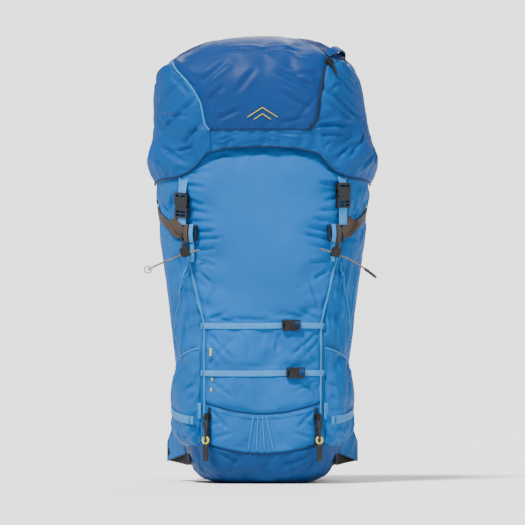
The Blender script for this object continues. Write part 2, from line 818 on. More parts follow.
def webbing(name, color, rough=0.6, pitch=0.0016):
    """Ribbed webbing with a darker middle groove and tight selvedges; cloth places run along it."""
    p = Paint(name, rough)
    p.bsdf.inputs["Specular IOR Level"].default_value = 0.16
    source = p.add("ShaderNodeTexCoord")
    place = source.outputs["UV"]
    parts = p.add("ShaderNodeSeparateXYZ", {0: place})
    across = p.math("ABSOLUTE", parts.outputs[0])
    skew = p.math("ADD", parts.outputs[1], p.math("MULTIPLY", across, 0.7))
    chevron = p.add("ShaderNodeCombineXYZ", {0: skew, 1: 0.0, 2: 0.0}).outputs[0]
    ribs = p.bands(chevron, pitch)
    cords = p.bands(place, 0.0012, "X")
    wear = p.noise(source.outputs["Object"], 60.0, 3.0)
    tone = p.mix(p.remap(ribs, 0, 1, 0.0, 1.0), shade(color, 0.70), shade(color, 1.12))
    tone = p.mix(p.remap(wear, 0.4, 0.75, 0.0, 0.35), tone, shade(color, 1.35))
    height = p.math("ADD", ribs, p.math("MULTIPLY", cords, 0.5))
    return p.finish(tone, p.remap(wear, 0.2, 0.8, rough - 0.08, rough + 0.12), height, 0.0003, 0.7)


def braid(name, color, fleck):
    """Round braided cord with a contrasting tracer thread."""
    p = Paint(name, 0.6, sheen=0.08)
    place = p.add("ShaderNodeTexCoord").outputs["Object"]
    turned = p.add("ShaderNodeMapping", {"Vector": place, "Rotation": (0.3, 0.9, 0.6)}).outputs[0]
    one, two = (p.bands(turned, BRAID_PITCH, axis) for axis in "XY")
    strands = p.math("MAXIMUM", one, two)
    tone = p.mix(strands, shade(color, 0.6), shade(color, 1.1))
    tone = p.mix(p.remap(p.math("MULTIPLY", one, two), 0.6, 0.8, 0.0, 0.8), tone, fleck + (1,))
    return p.finish(tone, p.remap(strands, 0, 1, 0.7, 0.5), strands, 0.0004, 0.8)


def plastic(name, color, rough=0.38):
    """Moulded nylon: fine spark-eroded grain, slight gloss changes and scuffed high spots."""
    p = Paint(name, rough, coat=0.03)
    p.bsdf.inputs["Specular IOR Level"].default_value = 0.28
    place = p.add("ShaderNodeTexCoord").outputs["Object"]
    fine = p.noise(place, PLASTIC_GRAIN, 2.0)
    broad = p.noise(place, 90.0, 3.0)
    scuff = p.remap(p.noise(place, 420.0, 4.0), 0.58, 0.72, 0.0, 0.5)
    tone = p.mix(p.remap(broad, 0.3, 0.7, 0, 1), shade(color, 0.85), shade(color, 1.2))
    tone = p.mix(scuff, tone, shade(color, 2.2))
    return p.finish(tone, p.remap(broad, 0.3, 0.7, rough - 0.06, rough + 0.10), fine, 0.00008, 0.5)


def mesh_foam(name, color):
    """Open spacer mesh over foam: rows of small holes in a knitted face."""
    p = Paint(name, 0.85, sheen=0.10)
    place = p.add("ShaderNodeTexCoord").outputs["Object"]
    cells = {"Vector": place, "Scale": 1 / FOAM_CELL, "Randomness": 0.25}
    holes = p.add("ShaderNodeTexVoronoi", cells).outputs["Distance"]
    knit = p.bands(place, 0.0009, "Z")
    cloud = p.noise(place, 14.0, 3.0)
    open_share = p.remap(holes, 0.18, 0.36, 1.0, 0.0)
    tone = p.mix(p.remap(cloud, 0.3, 0.7, 0, 1), shade(color, 0.85), shade(color, 1.2))
    tone = p.mix(p.math("MULTIPLY", knit, 0.3), tone, shade(color, 1.5))
    tone = p.mix(open_share, tone, shade(color, 0.18))
    height = p.math("SUBTRACT", p.math("MULTIPLY", knit, 0.3), open_share)
    return p.finish(tone, p.remap(cloud, 0.3, 0.7, 0.78, 0.95), height, 0.0007, 0.8)


def metal(name, color):
    p = Paint(name, 0.34, metal=1.0)
    place = p.add("ShaderNodeTexCoord").outputs["Object"]
    drawn = p.add("ShaderNodeMapping", {"Vector": place, "Scale": (1500.0, 1500.0, 14.0)}).outputs[0]
    lines = p.noise(drawn, 1.0, 2.0)
    tone = p.mix(lines, shade(color, 0.8), shade(color, 1.1))
    return p.finish(tone, p.remap(lines, 0.3, 0.7, 0.26, 0.42), lines, 0.00005, 0.4)


SHELL_BLUE = (0.0008, 0.080, 0.275)
SIDE_BLUE = (0.0010, 0.074, 0.250)
LID_BLUE = (0.0005, 0.050, 0.190)
LID_DARK = (0.0002, 0.027, 0.122)
CROWN_BLUE = (0.0001, 0.012, 0.060)
BASE_BLUE = (0.0004, 0.034, 0.130)
LIGHT_BLUE = (0.030, 0.170, 0.400)

PAINTS = {
    "shell": fabric("shell_nylon", SHELL_BLUE),
    "side": fabric("side_nylon", SIDE_BLUE),
    "flap": fabric("flap_nylon", SHELL_BLUE, rough=0.48),
    "lid": fabric("lid_nylon", LID_BLUE),
    "lid_panel": fabric("lid_panel_nylon", LID_DARK, rough=0.48),
    "crown": fabric("lid_crown_nylon", CROWN_BLUE, rough=0.62),
    "base": fabric("base_packcloth", BASE_BLUE, rough=0.6, grid=0.0030, relief=0.0005),
    "lining": fabric("lining_nylon", (0.030, 0.042, 0.058), rough=0.6),
    "light_web": webbing("light_webbing", LIGHT_BLUE),
    "taupe_web": webbing("taupe_webbing", (0.046, 0.034, 0.026)),
    "black_web": webbing("black_webbing", (0.0045, 0.0045, 0.0052), rough=0.72),
    "piping": webbing("piping_binding", (0.026, 0.150, 0.360), pitch=0.0011),
    "dark_binding": webbing("dark_binding", (0.003, 0.018, 0.060), pitch=0.0011),
    "thread": webbing("sewing_thread", (0.012, 0.110, 0.310), pitch=0.0008),
    "dark_thread": webbing("dark_thread", (0.020, 0.028, 0.045), pitch=0.0008),
    "cord": braid("braided_cord", (0.080, 0.060, 0.048), (0.18, 0.15, 0.12)),
    "buckle": plastic("buckle_nylon", (0.0050, 0.0050, 0.0054)),
    "pull": plastic("pull_rubber", (0.0080, 0.0080, 0.0080), rough=0.55),
    "yellow": plastic("yellow_rubber", (0.42, 0.34, 0.012), rough=0.5),
    "pale": plastic("pale_plastic", (0.26, 0.22, 0.18), rough=0.45),
    "zip": webbing("zip_tape", (0.003, 0.018, 0.060), pitch=0.0009),
    "coil": plastic("zip_coil", (0.005, 0.014, 0.040), rough=0.35),
    "mesh": mesh_foam("spacer_mesh", (0.024, 0.026, 0.031)),
    "pad_sleeve": fabric("pad_nylon", (0.012, 0.014, 0.019), rough=0.62),
    "stay": metal("stay_alloy", (0.62, 0.63, 0.65)),
}

# ---------------------------------------------------------------- cords

# Each bungee's route from its anchor through its toggle to its loose end; the left one's x is mirrored
BUNGEES = {
    "right": [(0.105, -0.164, 0.426), (0.122, -0.165, 0.421), (0.143, -0.161, 0.414),
              (0.164, -0.152, 0.405), (0.186, -0.143, 0.392), (0.208, -0.136, 0.375)],
    "left": [(0.114, -0.163, 0.424), (0.130, -0.163, 0.421), (0.149, -0.158, 0.415),
             (0.169, -0.150, 0.407), (0.190, -0.143, 0.399), (0.209, -0.138, 0.390)],
}
BUNGEE_R = 0.0016


def nurbs_points(curve_object):
    """Points along a cord's own spline."""
    bare = curve_object.data.copy()
    bare.bevel_depth = 0
    probe = bpy.data.objects.new("probe", bare)
    mesh = bpy.data.meshes.new_from_object(probe)
    points = np.array([v.co for v in mesh.vertices])
    bpy.data.objects.remove(probe)
    bpy.data.curves.remove(bare)
    bpy.data.meshes.remove(mesh)
    return points


def make_bungee(side, sign):
    route = [(sign * x, y, z) for x, y, z in BUNGEES[side]]
    data = bpy.data.curves.new(f"bungee_cord_{side}", "CURVE")
    data.dimensions = "3D"
    data.bevel_depth = BUNGEE_R
    data.bevel_resolution = 4
    data.use_fill_caps = True
    line = data.splines.new("NURBS")
    line.points.add(len(route) - 1)
    for point, at in zip(line.points, route):
        point.co = (*at, 1)
    line.order_u = 3
    line.use_endpoint_u = True
    line.resolution_u = 12
    cord = bpy.data.objects.new(f"bungee_cord_{side}", data)
    bpy.context.scene.collection.objects.link(cord)
    dress(cord, "main_bag", "cord", [f"bungee_{side}"])
    path = nurbs_points(cord)
    end = bungee_end_left(path) if side == "left" else bungee_end_right(path)


def bungee_end_left(path):
    """Moulded ring on the end of the left cord."""
    ahead = unit(path[-1] - path[-4])
    angles = np.linspace(0, 2 * np.pi, 25, endpoint=False)
    up = unit(np.cross(np.cross(ahead, (0, -1, 0)), ahead))
    centre = path[-1] + ahead * 0.0005
    side = unit(np.cross(up, (0, 1, 0)))
    other = unit(np.cross(side, (0, 1, 0)))
    loop = centre + 0.0062 * (np.cos(angles)[:, None] * side + np.sin(angles)[:, None] * other)
    neck = resample(path[-6:], 6)
    pieces = [tube(loop, 0.0014, 8, closed=True), tube(neck, 0.0024, 10)]
    return sew("bungee_ring_left", pieces, "main_bag", "pale")


def bungee_end_right(path):
    """Tapered sleeve over the end of the right cord."""
    length = np.linalg.norm(path - path[-1], axis=1)
    line = resample(path[length < 0.030], 14)
    ring = round_section(1.0, 12)
    _, side, normal = path_frames(line)
    shares, sizes = [0, 0.06, 0.12, 0.9, 1.0], [0.0018, 0.0026, 0.0029, 0.0026, 0.0014]
    radii = np.interp(np.linspace(0, 1, 14), shares, sizes)
    points = line[:, None] + radii[:, None, None] * (
        ring[None, :, 0, None] * side[:, None] + ring[None, :, 1, None] * normal[:, None])
    skin = (points.reshape(-1, 3), ring_faces(14, 12), np.zeros((14 * 12, 2)))
    return sew("bungee_sleeve_right", [skin], "main_bag", "taupe_web")


make_stage()
make_camera()
for side_name, side_sign in SIDES.items():
    make_bungee(side_name, side_sign)

# ---------------------------------------------------------------- main bag


def base_seam(x, y):
    """Height of the seam between the walls and the bottom panel: a smile in front, level behind."""
    smile = 0.055 + 0.021 * np.minimum(np.abs(x) / 0.110, 1.0) ** 2
    return smile + (0.062 - smile) * ease(-0.06, 0.075, y)


def flap_seam(x):
    """Height of the compartment's upper seam."""
    return 0.127 + 0.023 * np.minimum(np.abs(x) / 0.110, 1.0) ** 2


def near_band(points, height, half):
    """1 on a level strap and 0 away from it."""
    away = np.abs(points[..., 2] - height)
    return 1 - ease(half, half + 0.006, away)


def near_line(points, start, end, half):
    """1 within half of a line in the side view, given as (y, z) pairs, and 0 further than that."""
    start, end = np.array(start), np.array(end)
    along = end - start
    flat = points[..., 1:]
    t = np.clip((flat - start) @ along / (along @ along), 0, 1)
    away = np.linalg.norm(flat - (start + t[..., None] * along), axis=-1)
    return 1 - ease(half, half + 0.006, away)


def row_heights(low, high, rows, columns):
    """Heights for each row and column between two heights, or two lists of column heights."""
    low, high = (np.broadcast_to(np.asarray(k, float), columns + 1) for k in (low, high))
    v = np.linspace(0, 1, rows + 1)[:, None]
    return low[None, :] + v * (high - low)[None, :]


def front_x(z, columns):
    return np.linspace(-1, 1, columns + 1) * front_seam(z)


# Folds that fan out from the front panel's edges: (x, z) at the edge, (x, z) of the inner end, depth
FRONT_FOLDS = [
    (0.146, 0.545, 0.100, 0.540, 0.0030), (0.146, 0.522, 0.108, 0.508, 0.0026),
    (0.143, 0.500, 0.098, 0.492, 0.0030), (0.140, 0.478, 0.088, 0.478, 0.0034),
    (0.134, 0.458, 0.082, 0.462, 0.0030), (0.130, 0.443, 0.072, 0.450, 0.0034),
    (0.127, 0.424, 0.082, 0.432, 0.0028), (0.124, 0.408, 0.084, 0.398, 0.0026),
    (0.122, 0.392, 0.094, 0.366, 0.0028), (0.104, 0.312, 0.086, 0.372, 0.0026),
    (0.102, 0.297, 0.062, 0.318, 0.0022), (0.103, 0.277, 0.048, 0.226, 0.0030),
    (0.100, 0.262, 0.070, 0.222, 0.0026), (0.102, 0.210, 0.054, 0.268, 0.0026),
    (0.100, 0.190, 0.052, 0.160, 0.0024), (0.098, 0.168, 0.066, 0.182, 0.0020),
    (0.150, 0.580, 0.116, 0.566, 0.0026), (0.034, 0.278, 0.022, 0.230, 0.0020),
]


def make_front():
    columns = 46
    grid = front_patch(row_heights(flap_seam(front_x(0.14, columns)), BODY_TOP, 84, columns), columns)
    pins = ease(-0.010, 0.002, grid[..., 2] - look_up(LID_HEM, np.abs(grid[..., 0])))
    for _, z, _ in FRONT_STRAPS:
        pins = np.maximum(pins, near_band(grid, z, 0.0045))
    item = cloth("front_cloth", grid, "main_bag", "shell", ["front_panel"],
                 pins, grow=0.050, cap=0.0055, seed=3)
    for sign in (-1, 1):
        for x0, z0, x1, z1, depth in FRONT_FOLDS:
            crease(item, bag.on_front, (sign * x0, z0), (sign * x1, z1 + 0.004 * sign), depth, 0.0034)


# Folds of the lower compartment's right half: (x, z) at both ends
COMPARTMENT_FOLDS = [(0.095, 0.135, 0.060, 0.098), (0.092, 0.082, 0.052, 0.094), (0.094, 0.108, 0.070, 0.112)]


def make_compartment():
    columns = 46
    x = front_x(0.1, columns)
    grid = front_patch(row_heights(base_seam(x, -0.15), flap_seam(x), 15, columns), columns)
    pins = np.where(np.abs(grid[..., 0]) < 0.026, 0.6, 0.0)
    item = cloth("compartment_cloth", grid, "main_bag", "flap", ["compartment_panel"], pins,
                 grow=0.035, cap=0.0045, seed=5)
    for sign in (-1, 1):
        press(item, lambda x, z: bag.on_front(sign * x, z), COMPARTMENT_FOLDS, 0.0020, 0.0036)


# Vertical pleats of each side panel: place at the top, lean towards the foot, both ends' heights, depth
PLEATS = [
    (-0.146, 0.004, 0.405, 0.255, 0.0056), (-0.128, 0.006, 0.440, 0.300, 0.0044),
    (-0.110, -0.014, 0.430, 0.262, 0.0042), (-0.088, 0.020, 0.420, 0.280, 0.0036),
    (-0.060, -0.026, 0.440, 0.250, 0.0036), (-0.020, 0.020, 0.465, 0.330, 0.0032),
    (0.010, -0.040, 0.400, 0.240, 0.0032), (0.050, -0.020, 0.470, 0.260, 0.0032),
    (-0.120, 0.030, 0.530, 0.478, 0.0034), (-0.070, -0.030, 0.535, 0.490, 0.0032),
    (-0.140, 0.050, 0.350, 0.230, 0.0038), (-0.020, -0.050, 0.350, 0.225, 0.0030),
]


def side_of(shell, sign, offset=0.0):
    """Surface of one side as a function of (y, z)."""
    return lambda y, z: shell.on_side(y, z, sign, offset)


def make_sides():
    columns, rows = 44, 86
    for side, sign in SIDES.items():
        low = 0.07
        probe = bag.span(low, bag.front_angle(front_seam(low), low), bag.side_angle(REAR_LINE, low), columns)
        heights = row_heights(base_seam(probe[:, 0], probe[:, 1]), BODY_TOP, rows, columns)
        grid = mirrored(bag.patch(lambda z: bag.front_angle(front_seam(z), z),
                                  lambda z: bag.side_angle(REAR_LINE, z), heights, columns), sign)
        behind_pocket = pocket_mouth(grid[..., 1]) - 0.004 > grid[..., 2]
        pins = np.maximum(near_line(grid, *UPPER_STRAP, 0.010), np.where(behind_pocket, 1.0, 0.0))
        pins = np.maximum(pins, ease(0.535, 0.555, grid[..., 2]))
        item = cloth(f"side_cloth_{side}", grid, "main_bag", "side", [f"side_panel_{side}"], pins,
                     grow=0.08, cap=0.0070, seed=7 + sign)
        for y, slant, z_top, z_low, depth in PLEATS:
            crease(item, side_of(bag, sign), (y, z_top), (y + slant, z_low), depth, 0.0040)


def make_rear():
    columns = 40
    heights = row_heights(0.062, BODY_TOP, 70, columns)
    grid = bag.patch(lambda z: bag.side_angle(REAR_LINE, z),
                     lambda z: np.pi - bag.side_angle(REAR_LINE, z), heights, columns)
    pins = np.where((np.abs(grid[..., 0]) < 0.125) & (grid[..., 2] < 0.61), 1.0, 0.0)
    cloth("rear_cloth", grid, "main_bag", "side", ["rear_panel"], pins, grow=0.03, cap=0.003, seed=11)


CENTRE_GAP = 0.004  # share of a flat grid's radius at its innermost ring
# Folds of the bottom panel's front: (x, z) at both ends
BASE_FOLDS = [
    (-0.104, 0.062, -0.070, 0.024), (0.106, 0.060, 0.076, 0.022), (-0.045, 0.048, -0.062, 0.020),
    (0.040, 0.048, 0.056, 0.020), (-0.084, 0.058, -0.040, 0.034), (0.086, 0.052, 0.030, 0.030),
]


def make_base():
    """Bottom panel: its wall all round, and the flat base."""
    columns = 120
    probe = bag.span(0.05, -np.pi, np.pi, columns)
    heights = row_heights(0.0005, base_seam(probe[:, 0], probe[:, 1]), 16, columns)
    wall = bag.patch(lambda z: -np.pi, lambda z: np.pi, heights, columns)
    centre = np.array([0, -0.010, 0.0006])
    shares = np.append(CENTRE_GAP, np.linspace(0.06, 1, 10, endpoint=False))[:, None, None]
    grid = np.concatenate([centre + (wall[0] - centre)[None] * shares, wall])
    pins = np.where(grid[..., 2] < 0.006, 1.0, 0.0)
    pins = np.maximum(pins, near_line(grid, (-0.064, 0.046), (0.090, 0.044), 0.015) * (grid[..., 1] > -0.075))
    item = cloth("base_cloth", grid, "main_bag", "base", ["bottom_panel"],
                 pins, grow=0.035, cap=0.0045, seed=13)
    press(item, bag.on_front, BASE_FOLDS, 0.0026, 0.0038)
    for sign in (-1, 1):
        for y in (-0.110, -0.070, -0.020, 0.030):
            crease(item, side_of(bag, sign), (y, 0.058), (y + 0.022, 0.016), 0.0024, 0.0038)


def make_collar():
    """Spindrift collar, gathered towards its drawcord."""
    columns = 110
    heights = row_heights(BODY_TOP, 0.693, 10, columns)
    grid = collar.patch(lambda z: -np.pi, lambda z: np.pi, heights, columns)
    normals = grid_normals(grid)
    angle = np.linspace(-np.pi, np.pi, columns + 1)
    gather = np.sin(angle * 31) * 0.5 + np.sin(angle * 19 + 1.3) * 0.5
    depth = np.linspace(0, 1, 11)[:, None] ** 1.3 * 0.0022
    grid = grid + normals * (gather[None] * depth)[..., None]
    cloth("collar_cloth", grid, "main_bag", "lining", ["collar"], grow=0.02, cap=0.002, seed=17)


# ---------------------------------------------------------------- side pockets

POCKET_PROUD = 0.0160


# Folds of a side pocket in the side view: both ends and the depth
POCKET_FOLDS = [
    (-0.150, 0.106, -0.070, 0.078, 0.0040), (-0.120, 0.236, -0.060, 0.158, 0.0042),
    (-0.050, 0.216, 0.010, 0.152, 0.0036), (0.030, 0.110, -0.050, 0.076, 0.0034),
    (-0.156, 0.215, -0.118, 0.142, 0.0044), (0.048, 0.190, 0.026, 0.152, 0.0032),
    (-0.140, 0.186, -0.100, 0.160, 0.0032), (-0.146, 0.082, -0.110, 0.108, 0.0036),
    (-0.020, 0.112, 0.020, 0.078, 0.0034), (-0.090, 0.112, -0.070, 0.074, 0.0030),
]


def pocket_mouth(y):
    """Height of a side pocket's mouth, which slopes down towards the wearer."""
    return np.interp(y, [-0.190, 0.068], [0.262, 0.192])


def make_pockets():
    columns, rows = 40, 30
    flat = 0.0008
    for side, sign in SIDES.items():
        probe = bag.span(0.15, bag.front_angle(0.113, 0.15), bag.side_angle(0.066, 0.15), columns)
        heights = row_heights(0.068, pocket_mouth(probe[:, 1]), rows, columns)
        grid = bag.patch(lambda z: bag.front_angle(0.113, z),
                         lambda z: bag.side_angle(0.066, z), heights, columns)
        u = np.linspace(0, 1, columns + 1)[None]
        v = np.linspace(0, 1, rows + 1)[:, None]
        proud = np.minimum(ease(0, 0.09, u), ease(0, 0.09, 1 - u)) * ease(-0.02, 0.20, v)
        proud = proud * (1 - 0.74 * ease(0.50, 1.0, v))
        grid = mirrored(grid + grid_normals(grid) * (flat + (POCKET_PROUD - flat) * proud)[..., None], sign)
        item = cloth(f"pocket_cloth_{side}", grid, "main_bag", "side", [f"side_pocket_{side}"],
                     near_line(grid, *LOWER_STRAP, 0.008), grow=0.06, cap=0.0050, seed=23 + sign)
        press(item, side_of(bag, sign, 0.011), POCKET_FOLDS, 0.0040)
        hem = grid[-1] + grid_normals(grid)[-1] * 0.0002
        sew(f"pocket_binding_{side}", [tube(resample(hem, 90), 0.0019, 8)], "main_bag", "piping")


# ---------------------------------------------------------------- lid

# Edges of the lid's front panel: (height, x); and the height of the lid's hem at each distance from the middle
LID_EDGE_LEFT = [(0.560, -0.095), (0.640, -0.095), (0.650, -0.104), (0.690, -0.112), (0.716, -0.124),
                 (0.780, -0.160)]
LID_EDGE_RIGHT = [(0.560, 0.083), (0.641, 0.083), (0.662, 0.098), (0.700, 0.104), (0.742, 0.111),
                  (0.780, 0.119)]
LID_SEAM_LOW = 0.641
LID_RING = 0.780  # seam round the top of the lid
LID_LOW, LID_TOP = 0.555, 0.824
LID_LEVELS = 130
LID_HEM = [(0.0, 0.611), (0.020, 0.611), (0.060, 0.609), (0.104, 0.600), (0.124, 0.576), (0.138, 0.567),
           (0.152, 0.562), (0.164, 0.558), (0.230, 0.557)]
# Folds of the lid's side, hem band and front panel: (x, z) at both ends, depth and width
LID_SIDE_FOLDS = [
    (-0.186, 0.640, -0.116, 0.704, 0.0054, 0.0038), (-0.190, 0.690, -0.128, 0.742, 0.0042, 0.0040),
    (-0.192, 0.735, -0.148, 0.774, 0.0038, 0.0042), (-0.194, 0.650, -0.172, 0.716, 0.0036, 0.0040),
    (-0.150, 0.616, -0.110, 0.656, 0.0042, 0.0036), (-0.196, 0.632, -0.146, 0.582, 0.0042, 0.0038),
    (-0.170, 0.604, -0.124, 0.614, 0.0034, 0.0032), (-0.200, 0.606, -0.174, 0.566, 0.0036, 0.0036),
    (-0.180, 0.672, -0.130, 0.668, 0.0034, 0.0036), (-0.160, 0.744, -0.134, 0.706, 0.0030, 0.0036),
    (0.092, 0.648, 0.168, 0.657, 0.0056, 0.0034), (0.102, 0.632, 0.156, 0.641, 0.0036, 0.0030),
    (0.104, 0.722, 0.186, 0.668, 0.0054, 0.0040), (0.108, 0.694, 0.166, 0.666, 0.0038, 0.0034),
    (0.120, 0.754, 0.186, 0.706, 0.0044, 0.0040), (0.132, 0.776, 0.190, 0.732, 0.0042, 0.0042),
    (0.196, 0.668, 0.156, 0.586, 0.0050, 0.0038), (0.176, 0.632, 0.138, 0.590, 0.0040, 0.0036),
    (0.200, 0.612, 0.176, 0.564, 0.0040, 0.0038), (0.130, 0.628, 0.110, 0.604, 0.0030, 0.0032),
    (0.150, 0.736, 0.118, 0.710, 0.0030, 0.0034),
]
LID_APRON_FOLDS = [
    (-0.094, 0.618, -0.040, 0.634, 0.0036, 0.0028), (-0.060, 0.618, 0.004, 0.630, 0.0032, 0.0026),
    (-0.020, 0.634, 0.040, 0.626, 0.0028, 0.0026), (0.020, 0.635, 0.082, 0.632, 0.0030, 0.0026),
]
LID_PANEL_FOLDS = [
    (0.020, 0.752, 0.098, 0.712, 0.0042, 0.0054), (0.026, 0.712, 0.088, 0.676, 0.0034, 0.0048),
    (0.052, 0.742, 0.108, 0.746, 0.0030, 0.0044), (-0.110, 0.726, -0.058, 0.772, 0.0036, 0.0052),
    (-0.100, 0.690, -0.070, 0.722, 0.0028, 0.0044), (-0.070, 0.790, 0.070, 0.794, 0.0030, 0.0050),
    (-0.086, 0.658, -0.036, 0.680, 0.0026, 0.0042), (0.030, 0.652, 0.082, 0.666, 0.0026, 0.0040),
    (-0.050, 0.704, -0.010, 0.756, 0.0020, 0.0050), (0.060, 0.660, 0.094, 0.700, 0.0026, 0.0040),
]
# Folds of the lid's sides in the side view: (y, z) at both ends and the depth
LID_WING_FOLDS = [
    (-0.125, 0.612, -0.080, 0.668, 0.0034), (-0.094, 0.700, -0.020, 0.664, 0.0032),
    (-0.048, 0.748, 0.020, 0.716, 0.0030), (-0.040, 0.604, -0.012, 0.650, 0.0034),
    (0.012, 0.692, 0.074, 0.652, 0.0034), (0.046, 0.742, 0.090, 0.690, 0.0030),
    (-0.130, 0.752, -0.086, 0.728, 0.0032), (0.030, 0.608, 0.082, 0.640, 0.0032),
    (-0.070, 0.590, -0.052, 0.626, 0.0028), (0.060, 0.700, 0.096, 0.728, 0.0026),
    (-0.020, 0.640, 0.016, 0.622, 0.0026),
]
# Folds of the crown in the plan: (x, y) at both ends
CROWN_FOLDS = [
    (-0.128, 0.010, -0.050, 0.046), (-0.120, -0.050, -0.062, 0.012), (0.040, 0.060, 0.124, 0.030),
    (0.056, 0.010, 0.132, -0.040), (-0.040, 0.070, 0.030, 0.078), (0.070, -0.060, 0.110, -0.090),
    (-0.020, 0.020, 0.046, 0.040),
]
HEM_PULL = 0.0075  # how far the elastic draws the hem in
# How far the filled lid leans to its left, at each height: its left corner out, and its right side in
LEAN_LEFT = [(0.695, 0.0), (0.730, 0.006), (0.757, 0.014), (0.776, 0.009), (0.795, 0.003), (0.812, 0.0)]
LEAN_RIGHT = [(0.625, 0.0), (0.650, 0.004), (0.680, 0.010), (0.720, 0.014), (0.757, 0.013), (0.785, 0.006),
              (0.806, 0.0)]
LID_FLOOR = 0.7038  # height of the cloth that closes the lid's pocket from below
SEAM_ROW, RING_ROW = 20, 42
PANEL_COLUMNS = 34
REST_COLUMNS = 134


def lid_edge(table, z):
    held = look_up(table, LID_RING) * lid.size(z)[0] / lid.size(LID_RING)[0]
    return np.where(z > LID_RING, held, look_up(table, z))


def lean(points):
    """Moves points of the lid with its lean."""
    x, z = points[..., 0], points[..., 2]
    left = look_up(LEAN_LEFT, z) * ease(0.080, 0.170, -x)
    right = look_up(LEAN_RIGHT, z) * ease(0.120, 0.185, x)
    moved = points.copy()
    moved[..., 0] -= left + right
    return moved


def lid_front(x, z):
    return lean(lid.on_front(x, z))


def lid_ring(z):
    """Points round the lid at one height: first the front panel from left to right, then the rest."""
    left, right = (lid.front_angle(lid_edge(edge, z), z) for edge in (LID_EDGE_LEFT, LID_EDGE_RIGHT))
    panel = lid.span(z, left, right, PANEL_COLUMNS)
    rest = lid.span(z, right, left + 2 * np.pi, REST_COLUMNS)
    return np.vstack([panel, rest[1:]])


def lid_grid():
    table = np.array([lid_ring(z) for z in np.linspace(LID_LOW, LID_TOP, LID_LEVELS)])
    columns = PANEL_COLUMNS + REST_COLUMNS
    low = table[int((0.61 - LID_LOW) / (LID_TOP - LID_LOW) * (LID_LEVELS - 1))]
    hem = look_up(LID_HEM, np.abs(low[:, 0]))
    hem = hem + (0.640 - hem) * np.clip((low[:, 1] - 0.020) / 0.052, 0, 1)
    outside = np.zeros(columns + 1)
    k = np.arange(REST_COLUMNS + 1)
    outside[PANEL_COLUMNS:] = ease(0, 16, np.minimum(k, REST_COLUMNS - k))
    seam = LID_SEAM_LOW + 0.047 * outside
    stages = [(hem, seam, SEAM_ROW), (seam, LID_RING, RING_ROW - SEAM_ROW), (LID_RING, LID_TOP, 12)]
    heights = [row_heights(a, b, n, columns)[:-1] for a, b, n in stages]
    heights = np.vstack(heights + [np.full((1, columns + 1), LID_TOP)])
    grid = draw_in(between_levels(table, heights, LID_LOW, LID_TOP), hem)
    centre = np.array([0, -0.016, 0.8268])
    shares = np.append(np.linspace(0.88, 0.10, 7), CENTRE_GAP)[:, None, None]
    cap = centre + (grid[-1] - centre)[None] * shares
    cap[..., 2] = LID_TOP + 0.003 * (1 - shares[..., 0] ** 2)
    return lean(np.concatenate([grid, cap]))


def draw_in(grid, hem):
    """Gathers the lid's lower edge towards the bag, in small folds."""
    normals = grid_normals(grid)
    run = np.concatenate([[0], np.cumsum(np.linalg.norm(np.diff(grid[0], axis=0), axis=1))])
    above = grid[..., 2] - hem
    pull = HEM_PULL * (1 - ease(0.0, 0.042, above))
    fold_depth = 0.0016 * np.sin(run * 2 * np.pi / 0.031) * (0.6 + 0.4 * np.sin(run * 2 * np.pi / 0.087))
    pull = pull + fold_depth * ease(0.0, 0.010, above) * (1 - ease(0.012, 0.050, above))
    return grid - normals * pull[..., None]


def grid_part(grid, rows, columns):
    return grid[rows[0]:rows[1] + 1, columns[0]:columns[1] + 1]


def make_lid():
    grid = lid_grid()
    last_row, last_column = grid.shape[0] - 1, grid.shape[1] - 1
    panel = grid_part(grid, (SEAM_ROW, last_row), (0, PANEL_COLUMNS))
    skirt = grid_part(grid, (0, SEAM_ROW), (0, PANEL_COLUMNS))
    gusset = grid_part(grid, (0, RING_ROW), (PANEL_COLUMNS, last_column))
    crown = grid_part(grid, (RING_ROW, last_row), (PANEL_COLUMNS, last_column))
    floor_seam = near_band(gusset, 0.704, 0.006) * ease(0.060, 0.090, gusset[..., 1])
    thick = 0.0014
    front = cloth("lid_panel_cloth", panel, "lid", "lid_panel", ["lid_front_panel"],
                  grow=0.035, cap=0.0055, seed=31, thick=thick)
    apron = cloth("lid_apron_cloth", skirt, "lid", "lid", grow=0.05, cap=0.005, seed=33, thick=thick)
    around = cloth("lid_side_cloth", gusset, "lid", "lid", ["lid_shell"],
                   grow=0.09, cap=0.0085, seed=35, thick=thick)
    top = cloth("lid_top_cloth", crown, "lid", "crown", grow=0.035, cap=0.005, seed=37, thick=thick)
    around["hold"] = np.maximum(around["hold"], floor_seam.ravel())
    for item, folds in ((around, LID_SIDE_FOLDS), (apron, LID_APRON_FOLDS), (front, LID_PANEL_FOLDS)):
        press(item, lid_front, folds)
    for sign, shift in ((-1, 0.008), (1, 0.0)):
        side = side_of(lid, sign)
        for y0, z0, y1, z1, depth in LID_WING_FOLDS:
            crease(around, lambda y, z: lean(side(y, z)), (y0 - shift, z0 + shift), (y1 - shift, z1 + shift),
                   depth, 0.0042)
    press(top, crown_point, CROWN_FOLDS, 0.0034, 0.0056)
    return grid


def make_lid_floor():
    """Floor of the lid's pocket, which closes it from below."""
    ring = lean(lid_ring(LID_FLOOR))
    centre = np.array([0, -0.034, LID_FLOOR])
    shares = np.append(0.003, np.linspace(0.02, 0.990, 22))[:, None, None]
    grid = centre + (ring - centre)[None] * shares
    pins = np.broadcast_to(np.where(shares[..., 0] < 0.03, 1.0, 0.0), grid.shape[:2])
    cloth("lid_floor_cloth", grid, "lid", "lining", ["lid_underside"], pins, grow=0.04, cap=0.0045, seed=39)


